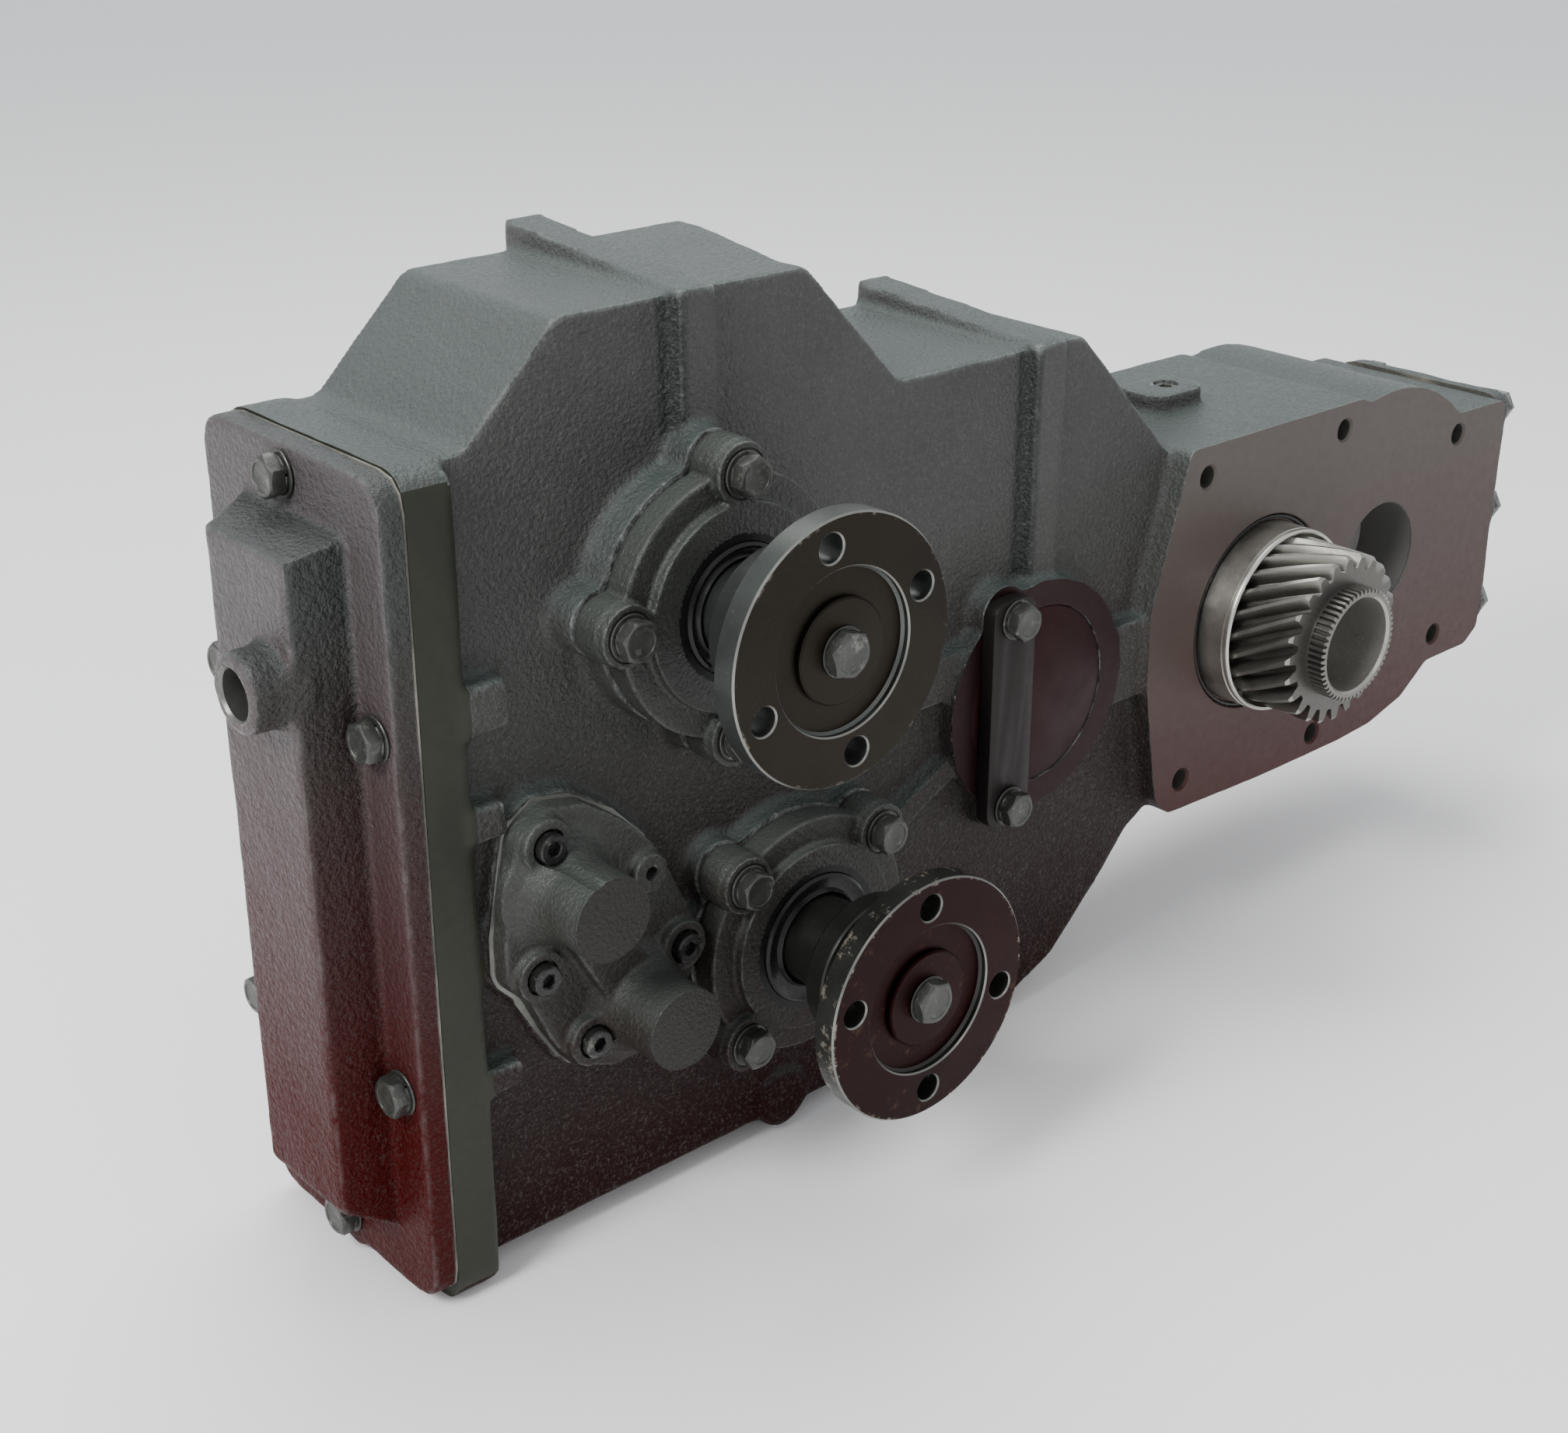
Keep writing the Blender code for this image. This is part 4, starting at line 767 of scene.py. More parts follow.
def make_housing():
    """The casting, with its mounts cut flat, its cavity and its bores."""
    forms = [
        prism(rounded(MAIN_OUTLINE, 9), -114, 0),
        prism(REAR_STEP, -121, -100),
        prism(SLOPE_SWELL, -113, -96),
        prism(SLOPE_SWELL, -96, -22, top=SLOPE_FLUSH),
        prism(rounded(BLOCK_OUTLINE, 4), -119, 24),
        prism(rounded(rectangle(-127, 11, -310.5, 85), 16), -FLANGE_X[1], 156, LEFT),
        prism(rectangle(262, 318, -137, -92), -6, 10.5),
        prism(rectangle(110, 185, -100, -74), -6, 8),
        prism(bar((90, -176), (190, -124), 13), -6, 8),
        prism(rectangle(*RIB_1, 143.5), -120, 6.5, top=rectangle(*RIB_1, 133)),
        prism(rectangle(*RIB_2, 80.5), -124, 6.5, top=rectangle(*RIB_2, 71)),
        prism(circle((56, -291), 16, 24), -16, 3),
        prism(rectangle(150, 215, -310.5, -290), -104, -40),
        prism(lobed(60.8, 15, BOLT_CIRCLE, quarter_turns(UPPER_TURN)), -6, 24),
        prism(lobed(60.8, 15, BOLT_CIRCLE, quarter_turns(LOWER_TURN)), -6, 18, at=LOWER_AXIS),
        prism(lobed(62.4, 15, KEEPER_REACH, KEEPER_ANGLES), -6, 20, at=IDLER_AXIS),
        prism(shift_outline(4.5), -6, 8),
        prism(rounded(rectangle(-22, 22, -17, 17), 14), -12, 7, UP, FILLER_PAD),
    ]
    forms += [prism(rectangle(*pad), -6, 12.5) for pad in PADS]
    forms += [rod(50, -126, -101, axis) for axis in AXES]
    obj = cast_form("housing_casting", forms, 2.1, 6, 0.22, 3)

    cut(obj, box(300, 660, -40, -BLOCK_FACE_H, -260, 40))
    cut(obj, box(-170, FLANGE_X[0], -40, 160, -340, 120))
    cut(obj, rod(82, UPPER_BOSS_H, 40, UPPER_AXIS))
    cut(obj, rod(78, LOWER_BOSS_H, 40, LOWER_AXIS))
    cut(obj, rod(78, IDLER_BOSS_H, 40, IDLER_AXIS))
    cavity = inset(MAIN_OUTLINE, 6)
    cavity[0] = (-160, -276)
    cavity[-2:] = [(-106, 74), (-124, 60), (-160, 60)]
    cut(obj, prism(cavity, CAVITY_BACK, -9))
    cut(obj, prism(BLOCK_CAVITY, -103, -10))
    join(obj, rod(41, -30, -6, POCKET_AXIS))
    cut(
        obj,
        *[rod(radius, -14, 30, axis, steps=96) for radius, axis in zip(BORES, AXES)],
        chamfered_hole(33, 34.2, -22, 13.2, 14.4, 30, 96, at=POCKET_AXIS),
        rod(12, -14, 20, SHIFT_TUBES[1]),
        *[rod(36.3, -118, -96, axis) for axis in AXES],
        *[rod(BOLT_HOLE, -4, 40, c, steps=16) for c in UPPER_BOLTS],
        *[rod(BOLT_HOLE, -7, 40, c, steps=16) for c in LOWER_BOLTS + KEEPER_BOLTS],
        *[rod(SCREW_HOLE, -7, 40, c, steps=16) for c in SHIFT_SCREWS],
        *[chamfered_hole(6, 7.2, -6, 12.6, BLOCK_FACE_H, 40, 32, at=c) for c in FACE_HOLES],
        *[rod(BOLT_HOLE, 128, 160, (-y, z), LEFT, 16) for y, z in END_BOLTS],
        rod(7.3, -20, 12, FILLER_PLUG, UP, 24),
    )
    cut(obj, chamfered_hole(56.7, 57.3, 11, 13.4, BLOCK_FACE_H, 30, 96, at=INPUT_AXIS))
    shade(obj)

    def on_face(centres, normals):
        flat = (np.abs(centres[:, 1] + BLOCK_FACE_H) < 0.3) & (normals[:, 1] < -0.9)
        bores = (centres[:, 0] > 320) & (centres[:, 1] > -14.3) & (centres[:, 1] < -0.2)
        return flat | (bores & ((nearest_face_hole(centres) < 7.6) | (off_axis(centres, INPUT_AXIS) < 58)))

    def in_pocket(centres, normals):
        return (off_axis(centres, POCKET_AXIS) < 33.1) & (centres[:, 1] < 23)

    def on_pocket_wall(centres, normals):
        return in_pocket(centres, normals) & (normals[:, 1] > -0.5)

    def on_boss(centres, normals):
        level = np.abs(centres[:, 1] + IDLER_BOSS_H) < 0.1
        return (off_axis(centres, IDLER_AXIS) < 77) & (normals[:, 1] < -0.9) & level

    def in_holes(centres, normals):
        return (nearest_face_hole(centres) < 6.5) & (centres[:, 1] > -13.5) & (centres[:, 1] < 8)

    def on_strip(centres, normals):
        near = (centres[:, 0] < FLANGE_X[1] + 1) & (normals[:, 1] < -0.8) & (centres[:, 1] < -9)
        return near | (centres[:, 0] < FLANGE_X[0] + 0.1)

    assign(obj, on_strip, 3)
    assign(obj, on_face, 1)
    assign(obj, in_pocket, 5)
    assign(obj, on_pocket_wall, 6)
    assign(obj, on_boss, 4)
    assign(obj, in_holes, 2)
    looks = [PAINT, FACE, HOLE_DARK, EDGE_STRIP, BOSS_FACE, RECESS, RECESS_WALL]
    finished(obj, looks, "housing", "case")


def make_bearing_cover(name, axis, turn, boss_h, bore, seal_radius):
    """A round cover with four bolt lobes, in two steps, over a spigot in the housing's bore."""
    low = boss_h + GAP
    lobes = quarter_turns(turn)
    places = [polar(axis, BOLT_CIRCLE, angle) for angle in lobes]
    forms = [
        prism(lobed(58.6, 13.2, BOLT_CIRCLE, lobes), low - 6, low + 4, at=axis),
        prism(lobed(60.3, 14.8, BOLT_CIRCLE, lobes), low + 1.6, low + 15.6, at=axis),
        prism(lobed(47.5, 14.2, BOLT_CIRCLE, lobes), low + 12, low + 20.6, at=axis),
    ]
    obj = cast_form(name + "_casting", forms, 0.95, 4, 0.12, 7)
    cut(obj, rod(90, low - 20, low, axis))
    join(obj, rod(bore, boss_h - 4, low + 2, axis, steps=96))
    cut(obj, turned([(0, 0), (seal_radius, 0), (seal_radius, 80), (0, 80)], 96, FRONT, axis))
    cut(obj, *[rod(BOLT_HOLE, boss_h - 10, 80, c, steps=24) for c in places])
    seat = low + COVER_SEAT
    cut(obj, *[rod(11.6, seat, 80, c, steps=40) for c in places])
    shade(obj)

    def machined_spots(centres, normals):
        return (normals[:, 1] < -0.95) & (np.abs(centres[:, 1] + seat) < 0.05)

    def round_the_seal(centres, normals):
        return off_axis(centres, axis) < seal_radius + 3.4

    assign(obj, machined_spots, 1)
    assign(obj, round_the_seal, 2)
    finished(obj, [DARK_PAINT, EDGE_STRIP, SEAT_DARK], name, "case")


def make_end_cover():
    """The plate at the left end, with a deep pan and the port that sticks out of it."""
    low = -FLANGE_X[0] + 1.6
    front, pan_front, port_end = low + END_PLATE, 189, 206
    plate = rounded(rectangle(-127, 11, -304, 84), 17, 5)
    pan = rectangle(-98.5, -14.5, -276.5, 56.5)
    spout = [(0, 180), (20, 180), (18.6, 190), (17.6, 194), (17.6, port_end), (0, port_end)]
    forms = [
        prism(plate, low - 8, front, LEFT),
        rod(17, low - 8, front - 0.5, (-60, -291), LEFT, 40),
        prism(pan, front - 5, pan_front, LEFT, top=rectangle(-75, -13, -253, 52)),
        turned(spout, 48, LEFT, PORT),
    ]
    obj = cast_form("end_cover_casting", forms, 1.7, 6, 0.25, 11)
    cut(obj, box(-low, -100, -60, 180, -340, 120))
    cut(obj, prism(rectangle(-88, -24, -265, 46), low - 5, 181, LEFT, top=rectangle(-68, -22, -245, 43)))
    cut(obj, chamfered_hole(11, 12, 168, port_end - 1.4, port_end, 215, 48, LEFT, PORT))
    cut(obj, *[rod(BOLT_HOLE, low - 5, front + 20, (-y, z), LEFT, 24) for y, z in END_BOLTS])
    shade(obj)

    def inside_port(centres, normals):
        off_port = np.hypot(centres[:, 1] + PORT[0], centres[:, 2] - PORT[1])
        return (off_port < 12.2) & (centres[:, 0] < -165)

    assign(obj, inside_port, 1)
    finished(obj, [COVER, HOLE_DARK], "end_cover", "case")


def make_right_cover():
    """The plate over the block's open end, with its six bosses and hex heads in one piece."""
    low, plate_end, boss_end, head_end = BLOCK_X + 1.6, 642, 646, 653.5
    plate = rounded(rectangle(-9, 106, -184, -32), 10)
    spots = [(y, z) for z in (-44, -172, -108) for y in (3, 94)]
    bosses = [rod(11, low - 6, boss_end, c, RIGHT, 32) for c in spots]
    forms = [prism(plate, low - 6, plate_end, RIGHT), *bosses]
    obj = cast_form("right_cover_casting", forms, 1.7, 5, 0.3, 13)
    cut(obj, box(600, low, -60, 160, -260, 40))
    for spot in spots:
        join(obj, prism(circle(spot, 9.8, 6), boss_end - 2, head_end, RIGHT))
    shade(obj)
    finished(obj, [PAINT], "right_cover", "case")


def make_shift_cover():
    """The flange with two tubes joined by a web, a boss under each screw and a small ear with a vent."""
    low, front, end = 9.6, SHIFT_FRONT, 56
    forms = [prism(shift_outline(1.5), low - 5, front - 1)]
    tube = [(0, end + 3), (19.8, end + 3), (19.4, 34), (21, 28), (25, 22), (31, 18.5), (31, 12), (0, 12)]
    forms += [turned(tube, 48, FRONT, centre) for centre in SHIFT_TUBES]
    forms.append(prism(bar(*SHIFT_TUBES, 26), 12, 27))
    forms += [rod(12.5, 10, 24, c, steps=32) for c in SHIFT_SCREWS]
    forms.append(rod(9.6, 10, 25, VENT, steps=32))
    obj = cast_form("shift_cover_casting", forms, 1.15, 6, 0.3, 17)
    cut(obj, box(-150, 20, -low, 30, -260, -40))
    for centre in SHIFT_TUBES:
        cut(obj, turned([(0, end), (60, end), (60, end + 20), (0, end + 20)], 24, FRONT, centre))
    cut(obj, rod(11, 0, 51, SHIFT_TUBES[1], steps=32))
    cut(obj, *[rod(SCREW_HOLE, 0, 40, c, steps=20) for c in SHIFT_SCREWS])
    cut(obj, *[rod(8.4, front + 0.2, 70, c, steps=32) for c in SHIFT_SCREWS])
    cut(obj, rod(3.4, 14, 40, VENT, steps=20))
    shade(obj)

    def ends(centres, normals):
        return (normals[:, 1] < -0.9) & (centres[:, 1] < 0.5 - end)

    assign(obj, ends, 1)
    finished(obj, [DARK_PAINT, TUBE_END], "shift_cover", "case")


def make_shift_gasket():
    """A sheet with sealant squeezed out unevenly round its edge."""
    edge = np.array(rounded(shift_outline(3.4), 1, 6))
    steps = wave_field(np.column_stack((edge, np.zeros(len(edge)))), 9, 31)
    away = edge - edge.mean(axis=0)
    away /= np.hypot(*away.T)[:, None]
    outline = [tuple(p) for p in edge + away * (steps * 0.9)[:, None]]
    obj = object_of("shift_gasket_sheet", [prism(outline, 8.4, 9.4)])
    screws = [rod(SCREW_HOLE, 0, 40, c, steps=20) for c in SHIFT_SCREWS]
    cut(obj, rod(13, 0, 30, SHIFT_TUBES[1], steps=32), *screws)
    finished(obj, [BEAD], "shift_cover_gasket", "case")


def make_keeper():
    outline = rounded(rectangle(178, 208, -174, -50), 10, 6)
    obj = object_of("keeper_plate", [prism(outline, IDLER_BOSS_H + GAP, KEEPER_TOP)])
    cut(obj, *[rod(BOLT_HOLE, 0, 40, c, steps=24) for c in KEEPER_BOLTS])
    bevelled(obj, 0.45)
    shade(obj, 30)
    finished(obj, [KEEPER_STEEL], "keeper_bar", "case")
    cap = object_of("idler_end_cap", [rod(47.9, 4, 11.6, IDLER_AXIS, steps=96)])
    bevelled(cap, 0.8)
    shade(cap, 30)
    finished(cap, [IDLER_STEEL], "idler_cap", "case")


def make_flange(which, axis, face_h, steel, side, turn, boss_h):
    """The companion flange, turned in one piece, with its four holes, and the washer in its recess."""
    disc_back, floor, hub_back = face_h - 12.5, face_h - PILOT_DEPTH, boss_h + 10
    front = [(16.3, floor), (35.6, floor), (36.8, floor + 1.2), (36.8, face_h - 0.7), (37.5, face_h)]
    disc = [(59.2, face_h), (60, face_h - 0.8), (60, disc_back + 1), (59, disc_back), (37, disc_back)]
    neck = [(33.8, disc_back - 3), (33.4, face_h - 33), (35.2, face_h - 34), (35.8, face_h - 35)]
    neck += [(35.6, face_h - 44.5), (34.4, face_h - 46), (27.4, face_h - 46), (26.5, face_h - 49)]
    hub = [(22, face_h - 54), (22, hub_back), (16.3, hub_back)]
    obj = object_of(f"{which}_companion_flange", [turned(front + disc + neck + hub, 112, FRONT, axis)])
    angles = [turn + half + sign * math.radians(38.2) for half in (0, math.pi) for sign in (-1, 1)]
    heights = (disc_back - 5, face_h - 0.7, face_h, face_h + 5)
    cut(obj, *[chamfered_hole(6.5, 7.2, *heights, 32, at=polar(axis, 47.5, angle)) for angle in angles])
    shade(obj, 28)

    def faces_forward(centres, normals):
        return (normals[:, 1] < -0.9) & (centres[:, 1] < -disc_back)

    # Chamfers near the face: bright steel that is partly rubbed metal, partly painted edge highlight.
    def rubbed(centres, normals):
        slanted = (normals[:, 1] < -0.3) & (normals[:, 1] > -0.95)
        return slanted & (centres[:, 1] < -(face_h - 0.9))

    assign(obj, faces_forward, 1)
    assign(obj, rubbed, 2)
    finished(obj, [side, steel, RUBBED], f"{which}_flange", f"{which}_output")
    low = floor + GAP
    washer = [(6.3, low), (23.5, low), (23.5, low + 1.8), (22.7, low + WASHER), (6.3, low + WASHER)]
    under = object_of(f"{which}_thrust_washer", [turned(washer, 96, FRONT, axis)])
    shade(under, 28)
    finished(under, [steel], f"{which}_washer", f"{which}_output")


def make_seal(which, axis, boss_h, radius):
    """An oil seal, with a lip at the shaft and a raised rim at the cover."""
    low, high, outside = boss_h + 11, boss_h + 23.3, radius - 0.1
    profile = [(22.3, high - 2), (24, high - 0.4), (25.5, high - 2.4), (27, high - 2.6)]
    profile += [(radius - 1.5, high - 0.6), (outside, high - 1.6), (outside, low), (22.3, low)]
    obj = object_of(f"{which}_seal_ring", [turned(profile, 96, FRONT, axis)])
    shade(obj, 40)
    finished(obj, [SEAL], f"{which}_seal", "case")


# The input gear.


def involute(angle):
    return math.tan(angle) - angle


def helical_outline():
    """Twenty-four pointed involute teeth with rounded roots."""
    teeth, pitch, root, foot, tip = 24, 44.6, 40.2, 42.0, 48.3
    pressure_angle, backlash, least_land = math.radians(20), 0.004, 0.009
    base = pitch * math.cos(pressure_angle)
    made = []
    for k in range(teeth):
        middle = TURN * k / teeth
        flank = []
        for j in range(6):
            radius = foot + (tip - foot) * j / 5
            pressure = math.acos(min(1, base / radius))
            half = math.pi / 2 / teeth + involute(pressure_angle) - involute(pressure) - backlash
            flank.append((radius, max(half, least_land)))
        made.append(polar((0, 0), root, middle - math.pi / teeth * 0.82))
        made.append(polar((0, 0), root + 0.35, middle - flank[0][1] - 0.012))
        made += [polar((0, 0), radius, middle - half) for radius, half in flank]
        made += [polar((0, 0), radius, middle + half) for radius, half in flank[::-1]]
        made.append(polar((0, 0), root + 0.35, middle + flank[0][1] + 0.012))
        made.append(polar((0, 0), root, middle + math.pi / teeth * 0.82))
    return made


def twisted(outline, low, high, twist_per_mm, bands, at):
    """The outline carried from high down to low while it turns. The high end keeps the drawn angle."""
    count = len(outline)
    points, faces = [], []
    for k in range(bands + 1):
        h = high + (low - high) * k / bands
        angle = twist_per_mm * (high - h)
        c, s = math.cos(angle), math.sin(angle)
        points += [(at[0] + u * c - v * s, at[1] + u * s + v * c, h) for u, v in outline]
    for k in range(bands):
        for j in range(count):
            a, b = k * count + j, k * count + (j + 1) % count
            faces.append((a, b, b + count, a + count))
    faces.append(tuple(range(count)))
    faces.append(tuple(range(bands * count, (bands + 1) * count))[::-1])
    return placed(points, FRONT), faces


def make_input_gear():
    """The helical gear and the fine toothed ring on its front, in one piece with an open middle."""
    axis, gear_front = INPUT_AXIS, 70.4
    twist = math.radians(0.68)
    obj = object_of("input_gear_cut", [twisted(helical_outline(), 26, gear_front, twist, 20, axis)])
    outer = [(49.2, gear_front - 2.5), (60, 60), (60, 90), (45.2, 90), (45.2, gear_front + 1)]
    cut(obj, turned(outer, 96, FRONT, axis))
    join(obj, turned([(0, 66), (31.9, 66), (31.9, 80.2), (31.1, 81), (0, 81)], 112, FRONT, axis))
    teeth = 56
    slots = []
    for k in range(teeth):
        middle = TURN * k / teeth
        outline = [polar((0, 0), 29.6, middle - 0.014), polar((0, 0), 29.6, middle + 0.014)]
        outline += [polar((0, 0), 33.5, middle + 0.042), polar((0, 0), 33.5, middle - 0.042)]
        slots.append(prism(outline, gear_front + 1, 84, at=axis))
    cut(obj, *slots)
    cut(obj, chamfered_hole(26.7, 28, 34, 79.6, 81, 90, 96, at=axis))
    cut(obj, rod(18.3, 20, 46, axis, steps=64))
    shade(obj, 32)

    def bore_faces(centres, normals):
        return off_axis(centres, axis) < 28.2

    def front_faces(centres, normals):
        return (normals[:, 1] < -0.95) & (np.abs(centres[:, 1] + gear_front) < 0.1)

    assign(obj, bore_faces, 1)
    assign(obj, front_faces, 2)
    finished(obj, [GEAR, BORE, GEAR_FACE], ["input_gear", "input_dog_ring"], "input")


def make_input_ring():
    """The bright ring round the gear, with a fine groove near its rounded lip, and its snap ring."""
    lip = [(49.6, 31.8), (50.4, 33.2), (51.3, 33.5), (52.1, 33.1), (52.5, 32.2)]
    groove = [(52.5, 30.4), (51.9, 30.1), (51.9, 29.3), (52.5, 29)]
    back = [(52.5, -6), (26.3, -6), (26.3, 16), (49.6, 16)]
    obj = object_of("input_bearing_ring", [turned(lip + groove + back, 128, FRONT, INPUT_AXIS)])
    shade(obj, 40)
    finished(obj, [RING_STEEL], "input_bearing", "case")
    snap = object_of("input_snap_ring", [turned(circle((55.1, 12.4), 1.15, 12), 128, FRONT, INPUT_AXIS)])
    shade(snap, 60)
    finished(snap, [SEAL], None, "case")


# Fasteners.


def loose_mesh(obj, angle):
    """Takes a fastener's mesh out of its object, moved so that its seat is at zero."""
    shade(obj, angle)
    mesh = obj.data
    bpy.data.objects.remove(obj)
    mesh.transform(Matrix.Translation(-ORIGIN))
    return mesh


def make_bolt(name, width, height, shank, length, washer, washer_height, split=False):
    """A hex bolt with its corners turned off, over a plain washer and a spring washer."""
    top = washer_height + height
    across = width / math.sqrt(3)
    hexagon = [polar((0, 0), across, TURN * (k + 0.25) / 6) for k in range(6)]
    obj = object_of(name, [prism(hexagon, washer_height, top)])
    shoulder, around = top - 0.42 * (across - width / 2) - 0.9, across + 0.2
    dome = [(0, top), (width / 2 - 0.5, top), (around, shoulder)]
    dome += [(around, washer_height), (0, washer_height)]
    boolean(obj, "INTERSECT", [turned(dome, 64)])
    dish = [(0, top - 0.35), (width / 2 - 2.2, top - 0.35), (width / 2 - 1.6, top + 1), (0, top + 1)]
    cut(obj, turned(dish, 48))
    bevelled(obj, 0.22, 2, 25)
    flat = washer_height * 0.45
    rim = 0.35
    disc = [(0, 0), (washer - rim, 0), (washer, rim), (washer, flat - rim), (washer - rim, flat), (0, flat)]
    spring = washer * 0.84
    coil = [(0, flat + 0.12), (spring - rim, flat + 0.12), (spring, flat + 0.12 + rim)]
    coil += [(spring, washer_height - rim), (spring - rim, washer_height - 0.05), (0, washer_height - 0.05)]
    stem = rod(shank, -length, flat + 0.5, steps=20)
    parts = object_of(name + "_washers", [turned(disc, 48), turned(coil, 48), stem])
    if split:
        cut(parts, box(0, washer, -washer_height + 0.02, -flat - 0.06, -0.6, 0.6))
    work = bmesh.new()
    work.from_mesh(obj.data)
    work.from_mesh(parts.data)
    work.to_mesh(obj.data)
    work.free()
    bpy.data.objects.remove(parts)
    return loose_mesh(obj, 30)


def make_screw(name):
    """A socket cap screw with a knurled head."""
    top = 8
    profile = [(0, top), (6.2, top), (7, top - 0.8), (7, 0.3), (6.6, 0), (4, 0), (4, -18), (0, -18)]
    obj = object_of(name, [turned(profile, 48)])
    cut(obj, prism(circle((0, 0), 3.5, 6), top - 4, top + 2))
    cut(obj, turned([(0, top - 0.6), (3.3, top - 0.6), (4, top + 0.2), (0, top + 0.2)], 32))
    cut(obj, *[rod(0.28, 1.6, 6.4, place, steps=6) for place in circle((0, 0), 7.1, 40)])
    return loose_mesh(obj, 32)


def put(name, mesh, facing, at, h, roll, material, node, body):
    """Places a fastener that was made facing forwards, turned by roll about its own axis."""
    data = mesh.copy()
    points = rows(data.vertices, "co") / MM
    u, v, height = points[:, 0], points[:, 2], -points[:, 1]
    c, s = math.cos(roll), math.sin(roll)
    local = np.stack([at[0] + u * c - v * s, at[1] + u * s + v * c, height + h], axis=1)
    moved = placed(local, facing) * MM + np.array(ORIGIN)
    data.vertices.foreach_set("co", moved.ravel())
    data.update()
    finished(linked(name, data), [material], node, body)


def put_row(piece, node, mesh, places, h, rolls, material=BOLT, facing=FRONT):
    """One numbered fastener at each place, all with their seats at h."""
    for k, (at, roll) in enumerate(zip(places, rolls), 1):
        put(f"{piece}_{k}", mesh, facing, at, h, roll, material, f"{node}_{k}", "case")


def make_fasteners():
    """Every bolt and screw. No two neighbours have their flats turned alike."""
    cover_bolt = make_bolt("cover_bolt_form", 17, 6.5, 5, 26, 10.5, 2.5, True)
    centre_bolt = make_bolt("centre_bolt_form", 19, 5, 6, 22, 11.5, 1.0)
    short_bolt = make_bolt("short_bolt_form", 17, 6.5, 5, 20, 10.5, 2.5, True)
    screw = make_screw("screw_form")
    rolls = (0.2, 1.1, 0.55, 0.8, 0.35, 0.95)
    ends = [(-y, z) for y, z in END_BOLTS]
    upper_seat = UPPER_BOSS_H + COVER_SEAT + 2 * GAP
    lower_seat = LOWER_BOSS_H + COVER_SEAT + 2 * GAP
    end_seat = -FLANGE_X[0] + 1.6 + END_PLATE + GAP
    put_row("upper_cover_hex", "upper_cover_bolt", cover_bolt, UPPER_BOLTS, upper_seat, rolls[1:])
    put_row("lower_cover_hex", "lower_cover_bolt", cover_bolt, LOWER_BOLTS, lower_seat, rolls[::-1])
    put_row("keeper_hex", "keeper_bolt", short_bolt, KEEPER_BOLTS, KEEPER_TOP + GAP, rolls[1:])
    put_row("end_cover_hex", "end_cover_bolt", short_bolt, ends, end_seat, rolls, facing=LEFT)
    shift_seat = SHIFT_FRONT + GAP
    put_row("shift_cover_cap", "shift_cover_screw", screw, SHIFT_SCREWS, shift_seat, rolls[1:], DARK_BOLT)
    for which, axis, face_h in (("upper", UPPER_AXIS, UPPER_FACE_H), ("lower", LOWER_AXIS, LOWER_FACE_H)):
        seat = face_h - PILOT_DEPTH + 2 * GAP + WASHER
        node, body = f"{which}_centre_bolt", f"{which}_output"
        put(f"{which}_centre_hex", centre_bolt, FRONT, axis, seat, 0.5, BOLT, node, body)


def make_plug():
    profile = [(0, 5.6), (6.2, 5.6), (7, 4.8), (7, -10), (0, -10)]
    obj = object_of("filler_plug_hex", [turned(profile, 40, UP, FILLER_PLUG)])
    cut(obj, prism(circle(FILLER_PLUG, 4, 6), 0, 9, UP))
    shade(obj, 30)
    finished(obj, [DARK_PAINT], "filler_plug", "case")


def finish_cad_nodes():
    """Detailed materials for the inner pieces and the gaskets that keep their CAD meshes."""
    looks = {"gasket_sheet": SHEET, "gear_steel": INNER_STEEL}
    slots = {row["node"]: row["material_slot"] for row in frame["record"]["subparts"]}
    for name, obj in frame["nodes"].items():
        look = looks.get(slots[name])
        if look is None:
            continue
        if obj.material_slots:
            for place in obj.material_slots:
                place.material = look
        else:
            obj.data.materials.append(look)


# Stage.


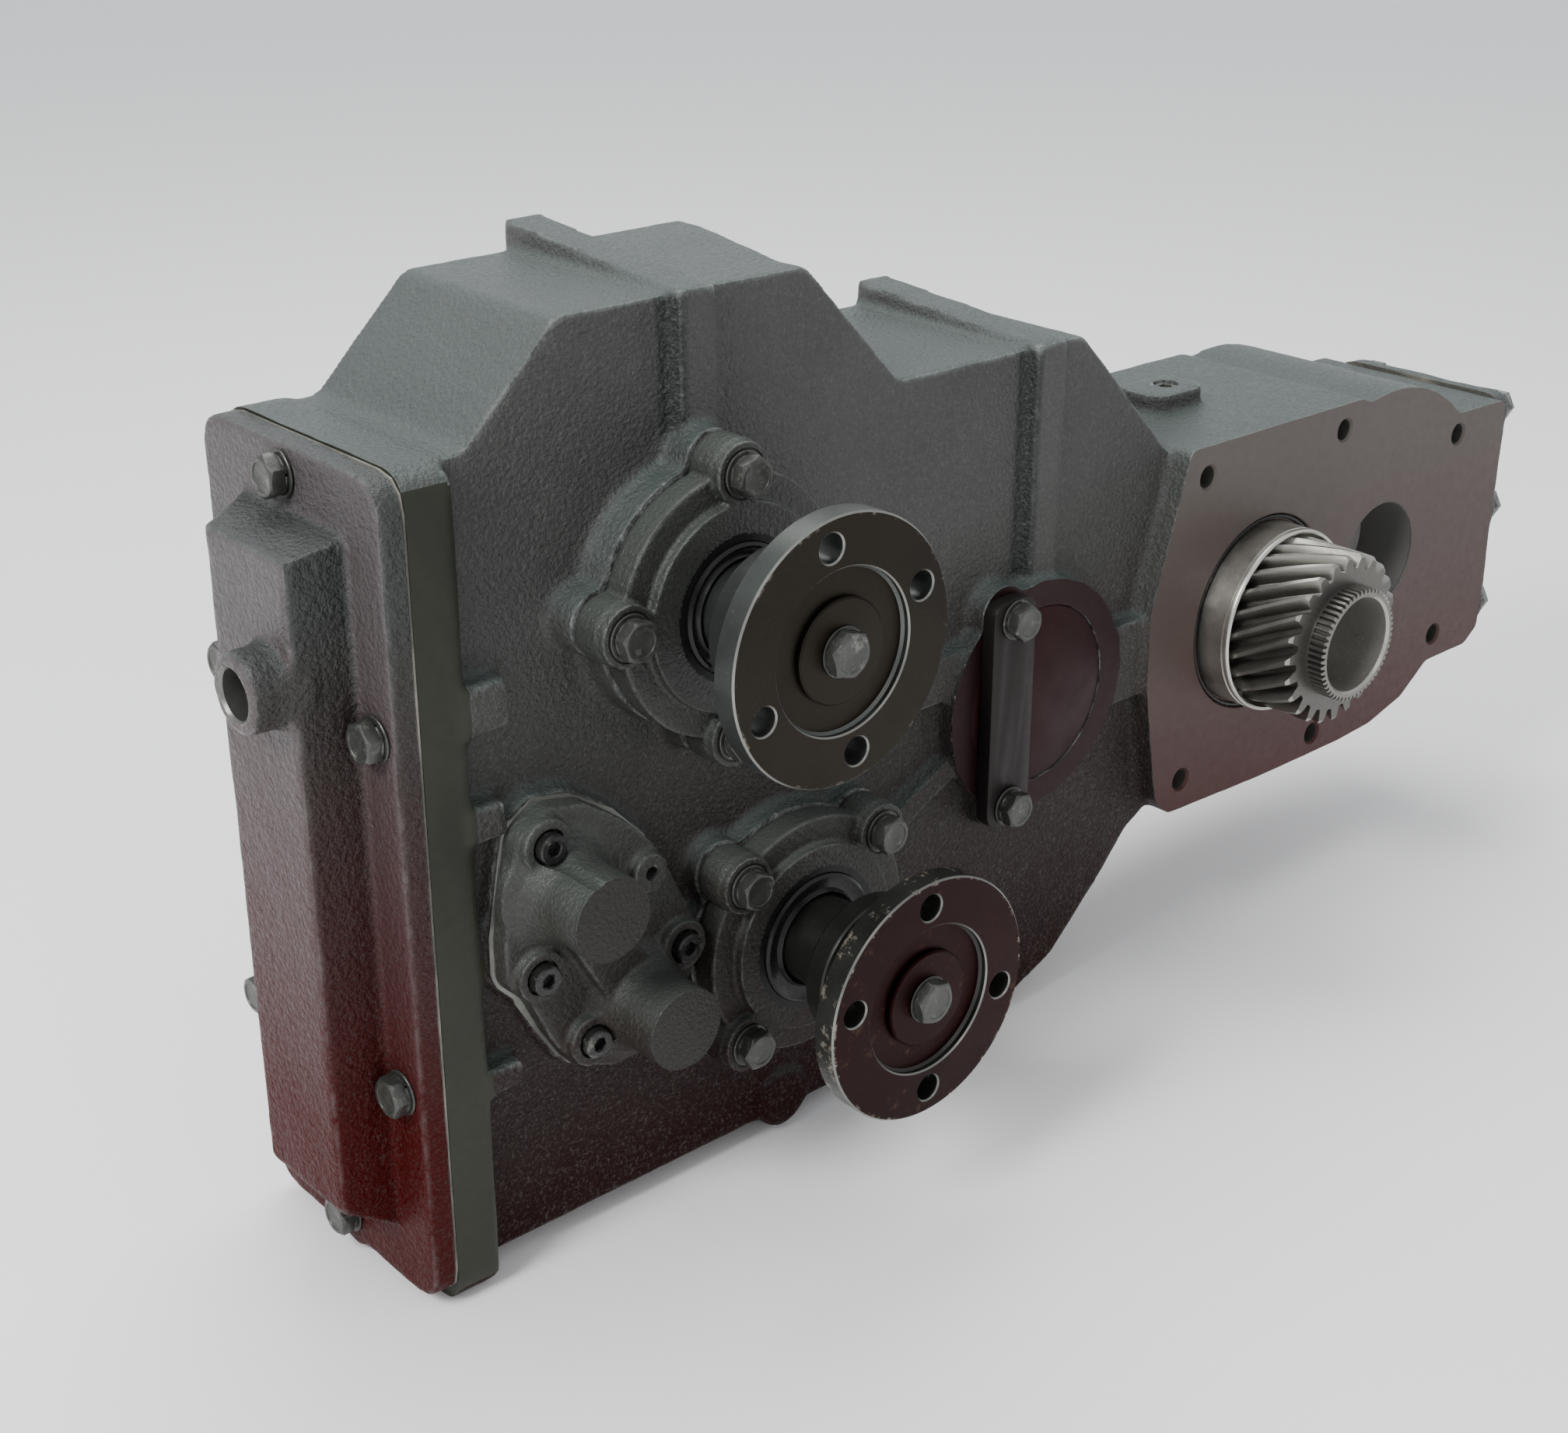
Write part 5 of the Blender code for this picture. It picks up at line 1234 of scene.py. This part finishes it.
def make_stage():
    data = bpy.data.meshes.new("floor")
    data.from_pydata([(-9, -9, 0), (9, -9, 0), (9, 9, 0), (-9, 9, 0)], [], [(0, 1, 2, 3)])
    floor = linked("floor", data)
    data.materials.append(Finish("floor_paper", (0.93, 0.93, 0.93), 0.9).material)

    world = bpy.data.worlds.new("studio")
    world.use_nodes = True
    world.node_tree.nodes["Background"].inputs["Color"].default_value = (0.9, 0.92, 0.95, 1)
    world.node_tree.nodes["Background"].inputs["Strength"].default_value = 1.05
    bpy.context.scene.world = world

    def lamp(name, place, target, size, power, color=(1, 1, 1)):
        light = bpy.data.lights.new(name, "AREA")
        light.shape = "DISK"
        light.size = size
        light.energy = power
        light.color = color
        obj = linked(name, light)
        obj.location = place
        obj.rotation_euler = (Vector(target) - Vector(place)).to_track_quat("-Z", "Y").to_euler()

    lamp("key", (-2.05, -0.3, 1.8), (-0.1, 0, 0.2), 0.8, 54)
    lamp("top", (0.3, 0.75, 2.3), (0, 0, 0.2), 1.5, 34)
    lamp("front", (-0.6, -2.4, 1.5), (0, 0, 0.2), 1.2, 6, (1, 0.9, 0.86))


def make_camera():
    azimuth, elevation = math.radians(-41.3), math.radians(24.05)
    across = math.cos(elevation)
    back = Vector((math.sin(azimuth) * across, -math.cos(azimuth) * across, math.sin(elevation)))
    data = bpy.data.cameras.new("camera")
    data.sensor_width = 36
    data.lens = 52.5
    data.clip_start, data.clip_end = 0.05, 30
    camera = linked("camera", data)
    camera.location = ORIGIN + Vector((-590.7, -738.0, 358.1)) * MM
    camera.rotation_mode = "QUATERNION"
    camera.rotation_quaternion = (-back).to_track_quat("-Z", "Y")
    bpy.context.scene.camera = camera


make_housing()
make_bearing_cover("upper_bearing_cover", UPPER_AXIS, UPPER_TURN, UPPER_BOSS_H, 45, 30.3)
make_bearing_cover("lower_bearing_cover", LOWER_AXIS, LOWER_TURN, LOWER_BOSS_H, 42, 33.3)
make_end_cover()
make_right_cover()
make_shift_cover()
make_shift_gasket()
make_keeper()
make_flange("upper", UPPER_AXIS, UPPER_FACE_H, UPPER_STEEL, UPPER_SIDE, math.radians(61), UPPER_BOSS_H)
make_flange("lower", LOWER_AXIS, LOWER_FACE_H, LOWER_STEEL, LOWER_SIDE, math.radians(129), LOWER_BOSS_H)
make_seal("upper", UPPER_AXIS, UPPER_BOSS_H, 30)
make_seal("lower", LOWER_AXIS, LOWER_BOSS_H, 33)
make_input_gear()
make_input_ring()
make_fasteners()
make_plug()
finish_cad_nodes()
make_stage()
make_camera()
